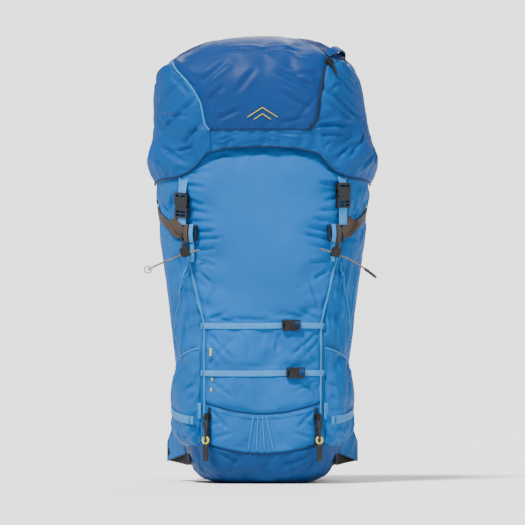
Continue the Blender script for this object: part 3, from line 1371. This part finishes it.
def crown_point(x, y):
    """Top of the lid over a point of the plan."""
    heights = np.linspace(LID_RING, LID_TOP, 23)
    size = np.array([lid.size(z) for z in heights])
    x, y = np.atleast_1d(x), np.atleast_1d(y)
    share = [np.hypot(a / size[:, 0], (b + 0.016) / (-size[:, 1])) for a, b in zip(x, y)]
    z = np.array([np.interp(1.0, k, heights) if k[-1] > 1 else 0.8255 for k in share])
    return np.stack([x, y, z], -1)


ZIP_THICK, TOOTH_PITCH = 0.0009, 0.0016


def lid_seams(grid):
    """Piping, zip and hem of the lid, along the joins of its panels."""
    normals = grid_normals(grid)
    up_edge = slice(SEAM_ROW, RING_ROW + 1)
    for name, at, lift, count, radius, sides, paint in (
            ("lid_piping_left", (up_edge, 0), 0.0012, 70, 0.0021, 10, "piping"),
            ("lid_piping_low", (SEAM_ROW, slice(PANEL_COLUMNS + 1)), 0.0003, 80, 0.0013, 8, "dark_binding"),
            ("lid_piping_top", (RING_ROW, slice(PANEL_COLUMNS, None)), 0.0005, 240, 0.0014, 8, "dark_binding"),
            ("lid_hem", (0, slice(None)), 0.0002, 420, 0.0019, 8, "dark_binding")):
        line = resample(grid[at] + normals[at] * lift, count)
        sew(name, [tube(line, radius, sides)], "lid", paint)
    zip_edge = (up_edge, PANEL_COLUMNS)
    line = resample(grid[zip_edge] + normals[zip_edge] * 0.0012, 80)
    up = unit(resample(normals[zip_edge], 80))
    sew("lid_zip_tape", [web(line, up, 0.0090, ZIP_THICK)], "lid", "zip", ["lid_zip"])
    sew("lid_zip_coil", zip_teeth(line, up), "lid", "coil")


def make_zip_garage():
    """Folded tab of webbing over the top end of the lid's zip."""
    share = np.linspace(0, 1, 24)
    x, z = 0.116 + 0.034 * share, 0.782 + 0.014 * share
    up = lid.normal(lid.front_angle(x, z), z)
    path = lid_front(x, z) + up * (0.0030 + 0.0085 * np.sin(share * np.pi))[:, None]
    sew("lid_zip_garage", [web(path, up, 0.0150, 0.0032)], "lid", "lid_panel")


def zip_teeth(line, normals):
    """Coil of a zip: a short cross-bar for each tooth."""
    total = np.linalg.norm(np.diff(line, axis=0), axis=1).sum()
    count = int(total / TOOTH_PITCH)
    even = resample(line, count)
    up = unit(resample(normals, count))
    tangent = unit(np.gradient(even, axis=0))
    side = unit(np.cross(up, tangent))
    pieces = []
    for a, n, s in zip(even, up, side):
        bar = np.array([a - s * 0.0019 + n * 0.0004, a + n * 0.0011, a + s * 0.0019 + n * 0.0004])
        pieces.append(sweep(bar, round_section(0.00058, 5), n))
    return pieces


# ---------------------------------------------------------------- seams of the main bag


def seam_path(x_of, low, high, sign, count=90, offset=0.0008):
    z = np.linspace(low, high, count)
    return bag.trace(sign * x_of(z), z, offset)


def make_seams():
    pieces, threads = [], []
    for sign in (-1, 1):
        line, _ = seam_path(front_seam, 0.078, 0.598, sign, 160)
        pieces.append(tube(line, 0.0022, 10))
        for shift, low in ((0.0048, 0.085), (-0.0048, 0.160)):
            threads += stitches(*seam_path(lambda z: front_seam(z) + shift, low, 0.560, sign, 160, 0.0006))
    z = np.linspace(0.405, 0.262, 60)
    for sign in (-1, 1):
        x = sign * np.interp(z, [0.262, 0.405], [0.157, 0.141])
        pieces.append(tube(bag.on_front(x, z, 0.0006), 0.0015, 8))
    x = np.linspace(-0.1035, 0.1035, 90)
    dark = [tube(bag.on_front(x, base_seam(x, -0.15), 0.0006), 0.0014, 8),
            tube(bag.on_front(x, flap_seam(x), 0.0008), 0.0013, 8)]
    threads += stitches(*bag.trace(x, flap_seam(x) + 0.006, 0.0006))
    z = np.linspace(0.1245, 0.060, 24)
    for top, foot in ((-0.016, -0.026), (-0.008, -0.011), (0.0, 0.004), (0.006, 0.020)):
        x = np.interp(z, [0.060, 0.1245], [foot, top])
        pieces.append(tube(bag.on_front(x, z, 0.0009), 0.0013, 8))
    settle(sew("seam_piping", pieces, "main_bag", "piping"))
    settle(sew("seam_binding", dark, "main_bag", "dark_binding"))
    settle(sew("seam_stitching", threads, "main_bag", "thread"))


def make_compartment_zip():
    """Zip under the compartment's upper seam, and its legs down both sides."""
    x = np.linspace(-0.0965, 0.0965, 120)
    arch = web(*bag.trace(x, flap_seam(x) - 0.005, 0.0004), 0.0092, 0.0012)
    settle(sew("compartment_zip_flap", [arch], "main_bag", "flap"))
    pieces, teeth = [], []
    for sign in (-1, 1):
        leg, up = bag.trace(np.full(40, sign * 0.0965), np.linspace(0.070, 0.138, 40), 0.0012)
        pieces.append(web(leg, up, 0.0080, ZIP_THICK))
        teeth += zip_teeth(leg, up)
    settle(sew("compartment_zip_tape", pieces, "main_bag", "zip", ["compartment_zip"]))
    settle(sew("compartment_zip_coil", teeth, "main_bag", "coil"))


# ---------------------------------------------------------------- webbing of the main bag


def front_strap(x0, x1, z, sag=0.0):
    x = np.linspace(x0, x1, 60)
    share = (x - x0) / (x1 - x0)
    return bag.trace(x, z - sag * 4 * share * (1 - share), 0.0018)


def side_strap(sign, back, front, lift):
    y, z = np.linspace(back, front, 70).T
    angle = bag.side_angle(y, z)
    normals = bag.normal(angle, z) * (sign, 1, 1)
    return bag.at(angle, z) * (sign, 1, 1) + normals * lift, normals


def make_bag_webbing():
    light, taupe, black, tacks = [], [], [], []
    for name, z, x_buckle in FRONT_STRAPS:
        path, up = front_strap(-0.111, x_buckle - 0.0150, z, 0.0012)
        light.append(web(path, up, WEB_10))
        short, short_up = front_strap(0.111, x_buckle + 0.0145, z)
        bend(f"front_strap_short_{name}", [web(short, short_up, WEB_10)], "light_web",
             [f"front_short_strap_{name}"])
        for at, out in ((path[2], up[2]), (short[2], short_up[2])):
            tacks += bar_tack(at + out * 0.001, (0, 0, 1), (1, 0, 0), out, 0.009)
    for sign in SIDES.values():
        for strap, lift, width, target in ((UPPER_STRAP, 0.0018, WEB_20, taupe),
                                           (LOWER_STRAP, POCKET_PROUD + 0.0014, 0.015, light)):
            path, up = side_strap(sign, *strap, lift)
            target.append(web(path, up, width))
            for k in (2, len(path) - 3):
                along = unit(path[k + 1] - path[k - 1])
                tacks += bar_tack(path[k] + up[k] * 0.001, np.cross(up[k], along), along, up[k], width * 0.8)
        x, z = np.full(12, sign * 0.115), np.linspace(0.117, 0.147, 12)
        light.append(web(*bag.trace(x, z, 0.0022), 0.013))
        rear = straight((sign * 0.138, 0.1103, 0.400), (sign * 0.138, 0.1103, 0.545), 30)
        black.append(web(rear, BACKWARD, WEB_20))
    sew("light_straps", light, "main_bag", "light_web", ["bag_webbing"])
    sew("taupe_straps", taupe, "main_bag", "taupe_web")
    sew("black_straps", black, "main_bag", "black_web")
    sew("strap_tacks", tacks, "main_bag", "thread")


# ---------------------------------------------------------------- carried-over hard parts


def soften(node, paint, width=0.0005):
    """CAD part with a moulded material and slightly rounded edges."""
    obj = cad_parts[node]
    obj.data.materials.clear()
    obj.data.materials.append(PAINTS[paint])
    edge = obj.modifiers.new("moulded_edges", "BEVEL")
    edge.width = width
    edge.segments = 2
    edge.limit_method = "ANGLE"
    edge.angle_limit = math.radians(40)
    edge.harden_normals = True


HARD_PARTS = {
    "buckle": ["lid_buckle_females", "lid_buckle_males", "front_buckle_females", "front_buckle_male_upper",
               "front_buckle_male_lower", "ladder_locks", "cord_locks", "strap_adjusters",
               "sternum_buckle_female", "sternum_buckle_male", "sternum_clips", "belt_buckle_female",
               "belt_buckle_male",
               "bungee_button_left", "bungee_button_right", "collar_lock_button", "lid_zip_slider",
               "compartment_slider_left", "compartment_slider_right"],
    "pull": ["lid_zip_pull"],
    "stay": ["frame_stays"],
    "cord": ["collar_drawcord"],
}


def dress_hard_parts():
    for paint, nodes in HARD_PARTS.items():
        for node in nodes:
            soften(node, paint, 0.0002 if paint == "cord" else 0.0005)


class Place:
    """Local axes at a point: across, out and up."""

    def __init__(self, at, across, up, out=None):
        self.at = np.asarray(at, float)
        self.across = unit(np.asarray(across, float))
        up = np.asarray(up, float)
        self.up = unit(up - self.across * (up @ self.across))
        self.out = np.cross(self.across, self.up) if out is None else np.asarray(out, float)

    def __call__(self, x, y, z):
        return self.at + self.across * x + self.out * y + self.up * z


def turned(at, turn_z=0.0, tilt_x=0.0):
    """Place whose out axis is -Y, turned about Z and then tilted about X like its CAD buckle."""
    turn, tilt = math.radians(turn_z), math.radians(tilt_x)
    across = np.array([math.cos(turn), math.sin(turn) * math.cos(tilt), math.sin(turn) * math.sin(tilt)])
    up = np.array([0.0, -math.sin(tilt), math.cos(tilt)])
    return Place(at, across, up)


def plate(place, outline, y0, y1):
    """Skin of a flat outline in a place's across-up plane, from y0 out to y1, with eased edges."""
    outline = np.asarray(outline, float)
    middle = outline.mean(0)
    rings = []
    for y, scale in ((y0, 1.0), (y1 - 0.25 * (y1 - y0), 1.0), (y1, 0.93)):
        rings += [place(x, y, z) for x, z in (outline - middle) * scale + middle]
    return np.array(rings), ring_faces(3, len(outline)), np.zeros((len(rings), 2))


def rounded(width, height, radius, x=0.0, z=0.0, steps=4):
    """Outline of a rounded rectangle."""
    points = []
    for cx, cz, start in ((1, 1, 0), (-1, 1, 90), (-1, -1, 180), (1, -1, 270)):
        for k in range(steps + 1):
            a = math.radians(start + 90 * k / steps)
            points.append((x + cx * (width / 2 - radius) + radius * math.cos(a),
                           z + cz * (height / 2 - radius) + radius * math.sin(a)))
    return points


def buckle_relief(place, width, thick, female_len, male_len):
    """Raised frame and grip ribs on a buckle's face: pieces for the female half, then for the male half."""
    face = thick / 2
    frame_z = female_len * 0.36
    border = rounded(width * 0.52, female_len * 0.34, width * 0.09, 0, frame_z)
    button = rounded(width * 0.30, female_len * 0.10, width * 0.03, 0, frame_z)
    female = [plate(place, border, face - 0.0004, face + 0.0007), plate(place, button, face, face + 0.0011)]
    ribs = [rounded(width * 0.62, male_len * 0.07, male_len * 0.03, 0, -male_len * k) for k in (0.16, 0.28)]
    return female, [plate(place, rib, face - 0.0012, face + 0.0004) for rib in ribs]


LID_BUCKLE_X = 0.147
LID_BUCKLE_Z = {"left": 0.505, "right": 0.523}
LYING = ((0, 0, -1), (-1, 0, 0))  # across and up of a buckle on a level strap
CHEST_STRAP_Y, CHEST_STRAP_Z = 0.2435, 0.430


def make_buckle_reliefs():
    females, males = [], []
    for side, sign in SIDES.items():
        z = LID_BUCKLE_Z[side]
        y = bag.on_front(LID_BUCKLE_X, z)[1] - 0.0115
        tilt = math.degrees(math.atan2(HINGE_Z - z, HINGE_Y - y))
        place = turned((sign * LID_BUCKLE_X, y, z), sign * 34, tilt)
        place.out = np.cross(place.up, place.across)
        one, two = buckle_relief(place, 0.028, 0.009, 0.025, 0.021)
        females += one
        males += two
        foot = place(0, 0, 0.0225)
        brow, inner = (lid.on_front(sign * (LID_BUCKLE_X + 0.003), height, -HEM_PULL - deep)
                       for height, deep in ((0.560, 0.0050), (0.568, 0.0130)))
        path = spline([foot, (foot + brow) / 2, brow, inner], 26)
        sew(f"lid_tab_{side}", [web(path, place.out, WEB_20)], "lid", "light_web")
        loop = np.array([place(0, 0, h) for h in np.linspace(0.471 - z, -0.0185, 14)])
        sew(f"lid_anchor_{side}", [web(loop, place.out, WEB_20)], "main_bag", "light_web")
    sew("lid_buckle_faces", females, "lid", "buckle")
    sew("lid_male_ribs", males, "main_bag", "buckle")
    fronts = []
    for name, z, x in FRONT_STRAPS:
        place = Place((x, bag.on_front(x - 0.020, z)[1] - 0.006, z), *LYING)
        one, two = buckle_relief(place, 0.020, 0.007, 0.017, 0.017)
        fronts += one
        sew(f"front_male_ribs_{name}", two, f"front_latch_{name}", "buckle")
    sew("front_buckle_faces", fronts, "main_bag", "buckle")
    chest = Place((0, CHEST_STRAP_Y, CHEST_STRAP_Z), *LYING, BACKWARD)
    one, two = buckle_relief(chest, 0.026, 0.0085, 0.023, 0.019)
    sew("sternum_buckle_face", one, "chest_strap", "buckle")
    sew("sternum_male_ribs", two, "chest_latch", "buckle")
    mouth, male = (Place((x, 0.372, 0.066), (0, 0, 1), (1, 0, 0), BACKWARD) for x in (0.020, -0.028))
    one, _ = buckle_relief(mouth, 0.050, 0.013, 0.038, 0.030)
    _, two = buckle_relief(male, 0.050, 0.013, 0.038, 0.030)
    sew("belt_buckle_face", one, "belt_right", "buckle")
    sew("belt_male_ribs", two, "belt_latch", "buckle")


def make_clusters():
    """Webbing through the side ladder locks: a light loop down the front, a brown tail and a light stub."""
    light, brown, marks = [], [], []
    for sign in (-1, 1):
        lock = np.array([sign * 0.133, bag.on_front(0.133, 0.455)[1] - 0.0046, 0.455])
        across = unit(np.array([1.0, sign * 0.62, 0.0]))
        face = unit(np.cross(across, (0.0, 0.0, 1.0)))

        def beside(far, y=0.0, z=0.0):
            return lock + across * sign * far + np.array([0, y, z])

        for shift, target in ((-0.0052, light), (0.0060, brown)):
            loop = [beside(shift, 0, z) + face * lift
                    for z, lift in ((-0.017, 0.0012), (-0.006, 0.0042), (0.006, 0.0042), (0.017, 0.0012))]
            target.append(web(spline(loop, 16), face, 0.0088, 0.0018))
        tail = [beside(0.012), beside(0.026, -0.004, 0.014), beside(0.034, -0.002, 0.030)]
        brown.append(web(spline(tail, 18), face, 0.017, 0.0022))
        back = [beside(0.010) + face * 0.001, beside(0.030, 0.004, 0.002), beside(0.048, 0.014, 0.024)]
        brown.append(web(spline(back, 18), face, 0.014, 0.0020))
        down = bag.on_front(sign * 0.126, np.linspace(0.439, 0.404, 12), 0.0040)
        marks.append(web(down, face, 0.0090, 0.0014))
    sew("lock_webs_light", light + marks, "main_bag", "light_web")
    sew("lock_webs_brown", brown, "main_bag", "taupe_web")


def make_pulls():
    """Compartment pulls: a cord loop on the pin, a moulded neck, a coloured ring and a soft tail."""
    for side, sign in SIDES.items():
        node = f"compartment_pull_{side}"
        low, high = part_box(node)
        pin = np.array([(low.x + high.x) / 2, (low.y + high.y) / 2, high.z - 0.0026])
        place = Place(pin, (0.8624, sign * 0.5061, 0.0), (0, 0, 1))
        half_loop = ((0.0037, -0.012), (0.0037, 0.0), (0.0022, 0.0020))
        ends = [place(-x, 0, z) for x, z in half_loop] + [place(x, 0, z) for x, z in half_loop[::-1]]
        black = [tube(spline(ends, 30), 0.0013, 8)]
        for width, height, radius, z, half in ((0.0104, 0.0140, 0.0030, -0.0150, 0.0016),
                                               (0.0060, 0.0180, 0.0018, -0.0280, 0.0014),
                                               (0.0100, 0.0310, 0.0030, -0.0648, 0.0016)):
            black.append(plate(place, rounded(width, height, radius, 0, z), -half, half))
        for k in range(5):
            rib = rounded(0.0072, 0.0016, 0.0007, 0, -0.0560 - 0.0044 * k)
            black.append(plate(place, rib, 0.0012, 0.0022))
        black.append(tube([place(0, 0, -0.036), place(0, 0, -0.049)], 0.0017, 8))
        ring = [place(0.0060 * math.cos(a), 0, -0.042 + 0.0060 * math.sin(a))
                for a in np.radians(np.linspace(118, 422, 26))]
        sew(f"pull_{side}_grip", black, f"pull_{side}", "pull", [node])
        sew(f"pull_{side}_ring", [tube(ring, 0.0018, 10)], f"pull_{side}", "yellow")


def make_emblem():
    """Small generic stitched mark on the lid, two nested peaks, and the tags by the left front seam."""
    pieces = []
    for rise, half, base in ((0.017, 0.027, 0.664), (0.010, 0.015, 0.660)):
        x = np.concatenate([np.linspace(-half, 0, 16), np.linspace(0, half, 16)[1:]])
        z = base + rise * (1 - np.abs(x) / half)
        pieces += stitches(*lid.trace(x, z, 0.0012), pitch=0.0016, length=0.0013, radius=0.0008)
    settle(sew("lid_emblem", pieces, "lid", "yellow"))
    marks = [web(*bag.trace(np.full(8, -0.092), np.linspace(z0, z1, 8), 0.0012), 0.0040, 0.0009)
             for z0, z1 in ((0.232, 0.246), (0.186, 0.192), (0.168, 0.174))]
    settle(sew("seam_tags", marks, "main_bag", "yellow"))


# ---------------------------------------------------------------- back and harness


def fin_grid(sign, columns=14, rows=20):
    """Fabric wing from the lower side to the hip belt, narrowing to its webbing."""
    u, v = np.meshgrid(np.linspace(0, 1, columns + 1), np.linspace(0, 1, rows + 1))
    foot = 0.053 - 0.015 * u
    top = 0.132 - 0.058 * u**1.2
    z = foot + (top - foot) * v
    root = bag.on_side(0.030 + 0.0 * z[:, 0], z[:, 0], 1, 0.001)[:, None]
    tip = np.array([0.1815, 0.1270])
    x = root[..., 0] + (tip[0] - root[..., 0]) * u
    y = root[..., 1] + (tip[1] - root[..., 1]) * u
    grid = np.stack([sign * x, y, z], -1)
    return grid[:, ::-1] if sign < 0 else grid


def make_fins():
    for side, sign in SIDES.items():
        cloth(f"fin_cloth_{side}", fin_grid(sign), "main_bag", "side", ["hip_fins"] if sign < 0 else (),
              grow=0.05, cap=0.003, seed=41 + sign, thick=0.0016)


def make_fin_edges():
    """Binding of each fin, and the black strap from the bag's bottom corner to its tip."""
    for side, sign in SIDES.items():
        grid = fin_grid(sign)
        outer = grid[:, 0 if sign < 0 else -1]
        lines = ((grid[-1], 24), (grid[0], 24), (outer, 16))
        edges = [tube(resample(line, count), 0.0014) for line, count in lines]
        sew(f"fin_binding_{side}", edges, "main_bag", "dark_binding")
        route = [bag.on_side(y, z, sign, lift)
                 for y, z, lift in ((-0.060, 0.046, 0.0022), (-0.015, 0.045, 0.0026), (0.030, 0.044, 0.0034))]
        path = spline(route + [(sign * 0.158, 0.085, 0.046), (sign * 0.1800, 0.1255, 0.050)], 40)
        up = unit(np.cross(np.gradient(path, axis=0), (0.0, 0.0, 1.0))) * sign
        sew(f"fin_strap_{side}", [web(path, up, 0.024, 0.0020)], "main_bag", "black_web")


def make_back_sleeve():
    """Fabric sleeve over the framesheet."""
    columns, rows = 42, 100
    half, low, high, corner = 0.105, 0.084, 0.596, 0.028
    x, z = np.meshgrid(np.linspace(half, -half, columns + 1), np.linspace(low, high, rows + 1))
    near = np.minimum(np.minimum(z - low, high - z), corner)
    x = x * (1 - 0.26 * (1 - np.sqrt(np.clip(1 - ((corner - near) / corner) ** 2, 0, 1))) * 0.9)
    grid = np.stack([x, np.full_like(x, 0.1072), z], -1)
    cloth("back_sleeve", grid, "main_bag", "pad_sleeve", ["framesheet"], np.ones(x.shape), seed=43)
    loop = np.vstack([grid[0], grid[:, -1], grid[-1, ::-1], grid[::-1, 0]])
    sew("back_sleeve_binding", [tube(resample(loop, 260), 0.0019, closed=True)], "main_bag", "black_web")


def outline_ring(outline, y, count):
    """Closed path round an outline in the X-Z plane at one depth."""
    outline = np.asarray(outline, float)
    path = resample(np.vstack([outline, outline[:1]]), count + 1)[:-1]
    return np.stack([path[:, 0], np.full(count, y), path[:, 1]], -1)


def make_back_pads():
    pad("back_foam_pads", "back_foam", "main_bag", cap=0.004, push=3.0)
    pad("lumbar_cushion", "lumbar_pad", "main_bag", cap=0.006, push=4.0)
    pad("yoke_cushion", "yoke", "main_bag", inset=0.0016, cap=0.004, push=3.0)


def make_back_bindings():
    """Bindings of the back pads, and the webbing channels over the two stays."""
    rings, channels = [], []
    for sign in (-1, 1):
        channel = straight((sign * 0.048, 0.1096, 0.088), (sign * 0.048, 0.1096, 0.526), 30)
        channels.append(web(channel, BACKWARD, 0.019, 0.0042))
        for z0, z1 in ((0.140, 0.332), (0.340, 0.500)):
            ring = rounded(0.076, z1 - z0, 0.018, sign * 0.060, (z0 + z1) / 2, 6)
            rings.append(tube(outline_ring(ring, 0.1130, 150), 0.0016, closed=True))
    ring = outline_ring(rounded(0.128, 0.102, 0.024, 0, 0.077, 6), 0.1130, 150)
    rings.append(tube(ring, 0.0018, closed=True))
    sew("back_bindings", rings, "main_bag", "black_web")
    sew("stay_channels", channels, "main_bag", "black_web")


STRAP_INNER = [(0.036, 0.500), (0.048, 0.440), (0.070, 0.370), (0.088, 0.310), (0.098, 0.272)]
STRAP_OUTER = [(0.102, 0.500), (0.116, 0.440), (0.134, 0.370), (0.142, 0.310), (0.1365, 0.272)]
CHEST_Y = 0.231  # middle of the shoulder straps on the wearer's chest


def strap_edge(points, sign, y):
    """Edge of a shoulder strap from the yoke, over the shoulder, down to its tip."""
    down = np.array(points)
    drop = [(sign * x, CHEST_Y + y - 0.020 * max(0.0, 0.330 - z) / 0.058, z) for x, z in down]
    rise = [(sign * down[0][0], 0.181 - (0.050 + y) * math.cos(a), 0.500 + (0.050 + y) * math.sin(a))
            for a in np.radians(np.arange(0, 176, 12))]
    return spline(rise + drop, 190)


def make_shoulder_pads():
    for side in SIDES:
        pad(f"shoulder_pad_{side}", f"shoulder_strap_{side}", "harness", cap=0.0045)


def make_shoulder_straps():
    middle = [((a[0] + b[0]) / 2, a[1]) for a, b in zip(STRAP_INNER, STRAP_OUTER)]
    for side, sign in SIDES.items():
        edges = [tube(strap_edge(edge, sign, 0.0), 0.0021, 8) for edge in (STRAP_INNER, STRAP_OUTER)]
        sew(f"shoulder_binding_{side}", edges, "harness", "black_web")
        line = strap_edge(middle, sign, 0.0092)[48:178]
        tangent = unit(np.gradient(line, axis=0))
        up = unit(np.cross(tangent, (1.0, 0, 0)))
        up = np.where((up @ np.array([0, 1.0, 0.3]))[:, None] < 0, -up, up)
        tacks = []
        for k in range(6, len(line) - 4, 13):
            across = np.cross(up[k], tangent[k])
            tacks += bar_tack(line[k] + up[k] * 0.0011, across, tangent[k], up[k], 0.015, 0.0030)
        sew(f"daisy_chain_{side}", [web(line, up, WEB_20, 0.0018)], "harness", "black_web")
        sew(f"daisy_tacks_{side}", tacks, "harness", "dark_thread")


def make_harness_webbing():
    for name, node, x, foot, head, up in (
            ("load_lifter_webs", "load_lifters", 0.072, (0.1085, 0.5987), (0.2425, 0.5357), (0, 0.42, 0.9)),
            ("lower_strap_webs", "lower_straps", 0.116, (0.1125, 0.1262), (0.2090, 0.2446), (0, -0.78, 0.62))):
        paths = [straight((sign * x, *foot), (sign * x, *head), 30, 0.002) for sign in (-1, 1)]
        bend(name, [web(path, unit(np.array(up)), WEB_20) for path in paths], "black_web",
             [node])
    left, right = (straight((a, CHEST_STRAP_Y, CHEST_STRAP_Z), (b, CHEST_STRAP_Y, CHEST_STRAP_Z), 24)
                   for a, b in ((-0.0205, -0.094), (0.0165, 0.094)))
    sew("sternum_web_left", [web(left, BACKWARD, WEB_20)], "chest_strap", "black_web", ["sternum_strap_left"])
    bend("sternum_web_right", [web(right, BACKWARD, WEB_20)], "black_web",
         ["sternum_strap_right"])
    rail = ((0.2405, 0.392), (0.2408, 0.430), (0.2405, 0.468))
    rails = [tube([(sign * 0.088, y, z) for y, z in rail], 0.0018) for sign in (-1, 1)]
    sew("sternum_rails", rails, "harness", "buckle")


BELT_CENTRE_Y = 0.250
BELT_R = 0.140


def belt_point(angle, radius, z, sign=1):
    a = np.radians(angle)
    return np.stack(np.broadcast_arrays(sign * radius * np.cos(a), BELT_CENTRE_Y + radius * np.sin(a), z), -1)


def wing_heights(y):
    """Lower and upper edge of a belt wing at a depth."""
    low = np.interp(y, [0.120, 0.230, 0.320, 0.380], [0.018, 0.020, 0.036, 0.044])
    high = np.interp(y, [0.120, 0.230, 0.320, 0.380], [0.120, 0.112, 0.092, 0.086])
    return low, high


def belt_face_grid(sign, columns=60, rows=12):
    """Nylon face on the outside of a belt wing."""
    share = np.linspace(0.10, 0.90, rows + 1)[:, None]
    outer = belt_point(np.linspace(-50, 47, columns + 1), BELT_R + 0.0042, 0.07, sign)
    low, high = wing_heights(outer[:, 1])
    z = low + (high - low) * share
    grid = np.stack([np.broadcast_to(outer[:, 0], z.shape), np.broadcast_to(outer[:, 1], z.shape), z], -1)
    return grid[:, ::-1] if sign < 0 else grid


def make_belt_pads():
    for side, sign in SIDES.items():
        pad(f"belt_pad_{side}", f"belt_wing_{side}", f"belt_{side}", cap=0.0030)
        cloth(f"belt_face_{side}", belt_face_grid(sign), f"belt_{side}", "pad_sleeve",
              grow=0.02, cap=0.0022, seed=51 + sign, thick=0.0010)


def make_belt():
    height = 0.066
    for side, sign in SIDES.items():
        body = f"belt_{side}"
        middle = belt_point(np.linspace(-55, 49, 90), BELT_R - 0.007, 0.07, sign)
        low, high = wing_heights(middle[:, 1])
        levels = (low + 0.0018, high - 0.0018)
        edges = [tube(np.stack([middle[:, 0], middle[:, 1], z], -1), 0.0024) for z in levels]
        sew(f"belt_binding_{side}", edges, body, "black_web")
        grid = belt_face_grid(sign)
        rim = np.vstack([grid[0], grid[1:, -1], grid[-1, ::-1][1:], grid[::-1, 0][1:-1]])
        sew(f"belt_face_binding_{side}", [tube(resample(rim, 220), 0.0013, closed=True)], body, "dark_thread")
        centre = np.array([0, BELT_CENTRE_Y, height])
        strip = belt_point(np.linspace(-20, 47, 60), BELT_R + 0.0076, height, sign)
        sew(f"belt_strip_{side}", [web(strip, unit(strip - centre), 0.036, 0.0018)], body, "black_web")
        angle = np.linspace(46.5, 63.0, 30)
        tail = belt_point(angle, BELT_R - 0.007, height, sign)
        tail[:, 1] += ease(55, 64, angle) * 0.0005
        pieces = [web(tail, unit(tail - centre), 0.036, 0.0020)]
        name, nodes = f"belt_web_{side}", [f"belt_webbing_{side}"]
        if side == "right":
            sew(name, pieces, body, "black_web", nodes)
        else:
            bend(name, pieces, "black_web", nodes)


def make_haul_loop():
    """Grab handle: webbing legs through a padded sleeve, and its tabs on the bag."""
    legs, tabs = [], []
    for sign in (-1, 1):
        x = sign * 0.036
        legs.append(web(straight((x, 0.1165, 0.556), (x, 0.1165, 0.6035), 16), BACKWARD, 0.016, 0.0024))
        slope = straight((x, 0.1062, 0.6205), (x, 0.1155, 0.6025), 12)
        tabs.append(web(slope, unit(np.array([0, 0.88, 0.46])), 0.016, 0.0022))
    grip = straight((-0.046, 0.1165, 0.555), (0.046, 0.1165, 0.555), 26)
    swell = 1 + 0.10 * np.sin(np.linspace(0, np.pi, 26))
    ring = round_section(0.0062, 14)
    points = grip[:, None] + swell[:, None, None] * np.stack([np.zeros(14), ring[:, 0], ring[:, 1]], -1)[None]
    for end in (0, -1):
        points[end] = grip[end] + (points[end] - grip[end]) * 0.7
    points = points.reshape(-1, 3)
    sew("haul_legs", legs, "haul_handle", "black_web", ["haul_loop"])
    sew("haul_grip", [(points, ring_faces(26, 14), points[:, [1, 0]])], "haul_handle", "pad_sleeve")
    sew("haul_tabs", tabs, "main_bag", "black_web")


def make_lid_rear():
    """Webbing that ties the lid's rear edge to the back through its ladder locks."""
    webs, tabs = [], []
    for sign in (-1, 1):
        line = [(sign * 0.138, 0.1175, z) for z in np.linspace(0.546, 0.560, 6)]
        line += [(sign * 0.138, 0.1190, z) for z in np.linspace(0.566, 0.666, 26)]
        webs.append(web(line, BACKWARD, WEB_20))
        tab = straight((sign * 0.138, 0.1190, 0.650), (sign * 0.138, 0.1190, 0.668), 8)
        tabs.append(web(tab, BACKWARD, 0.022, 0.0010))
    bend("lid_rear_webs", webs, "black_web")
    sew("lid_rear_tabs", tabs, "lid", "black_web", ["lid_webbing"])


# ---------------------------------------------------------------- order of work

make_front()
make_compartment()
make_sides()
make_rear()
make_base()
make_collar()
make_pockets()
LID_GRID = make_lid()
make_lid_floor()
make_fins()
make_back_sleeve()
make_back_pads()
make_shoulder_pads()
make_belt_pads()
run_cloth()
DRIFT = map_drift()
finish_cloth()

make_seams()
make_compartment_zip()
lid_seams(LID_GRID)
make_zip_garage()
make_bag_webbing()
make_clusters()
dress_hard_parts()
make_buckle_reliefs()
make_pulls()
make_emblem()
make_fin_edges()
make_back_bindings()
make_shoulder_straps()
make_harness_webbing()
make_belt()
make_haul_loop()
make_lid_rear()
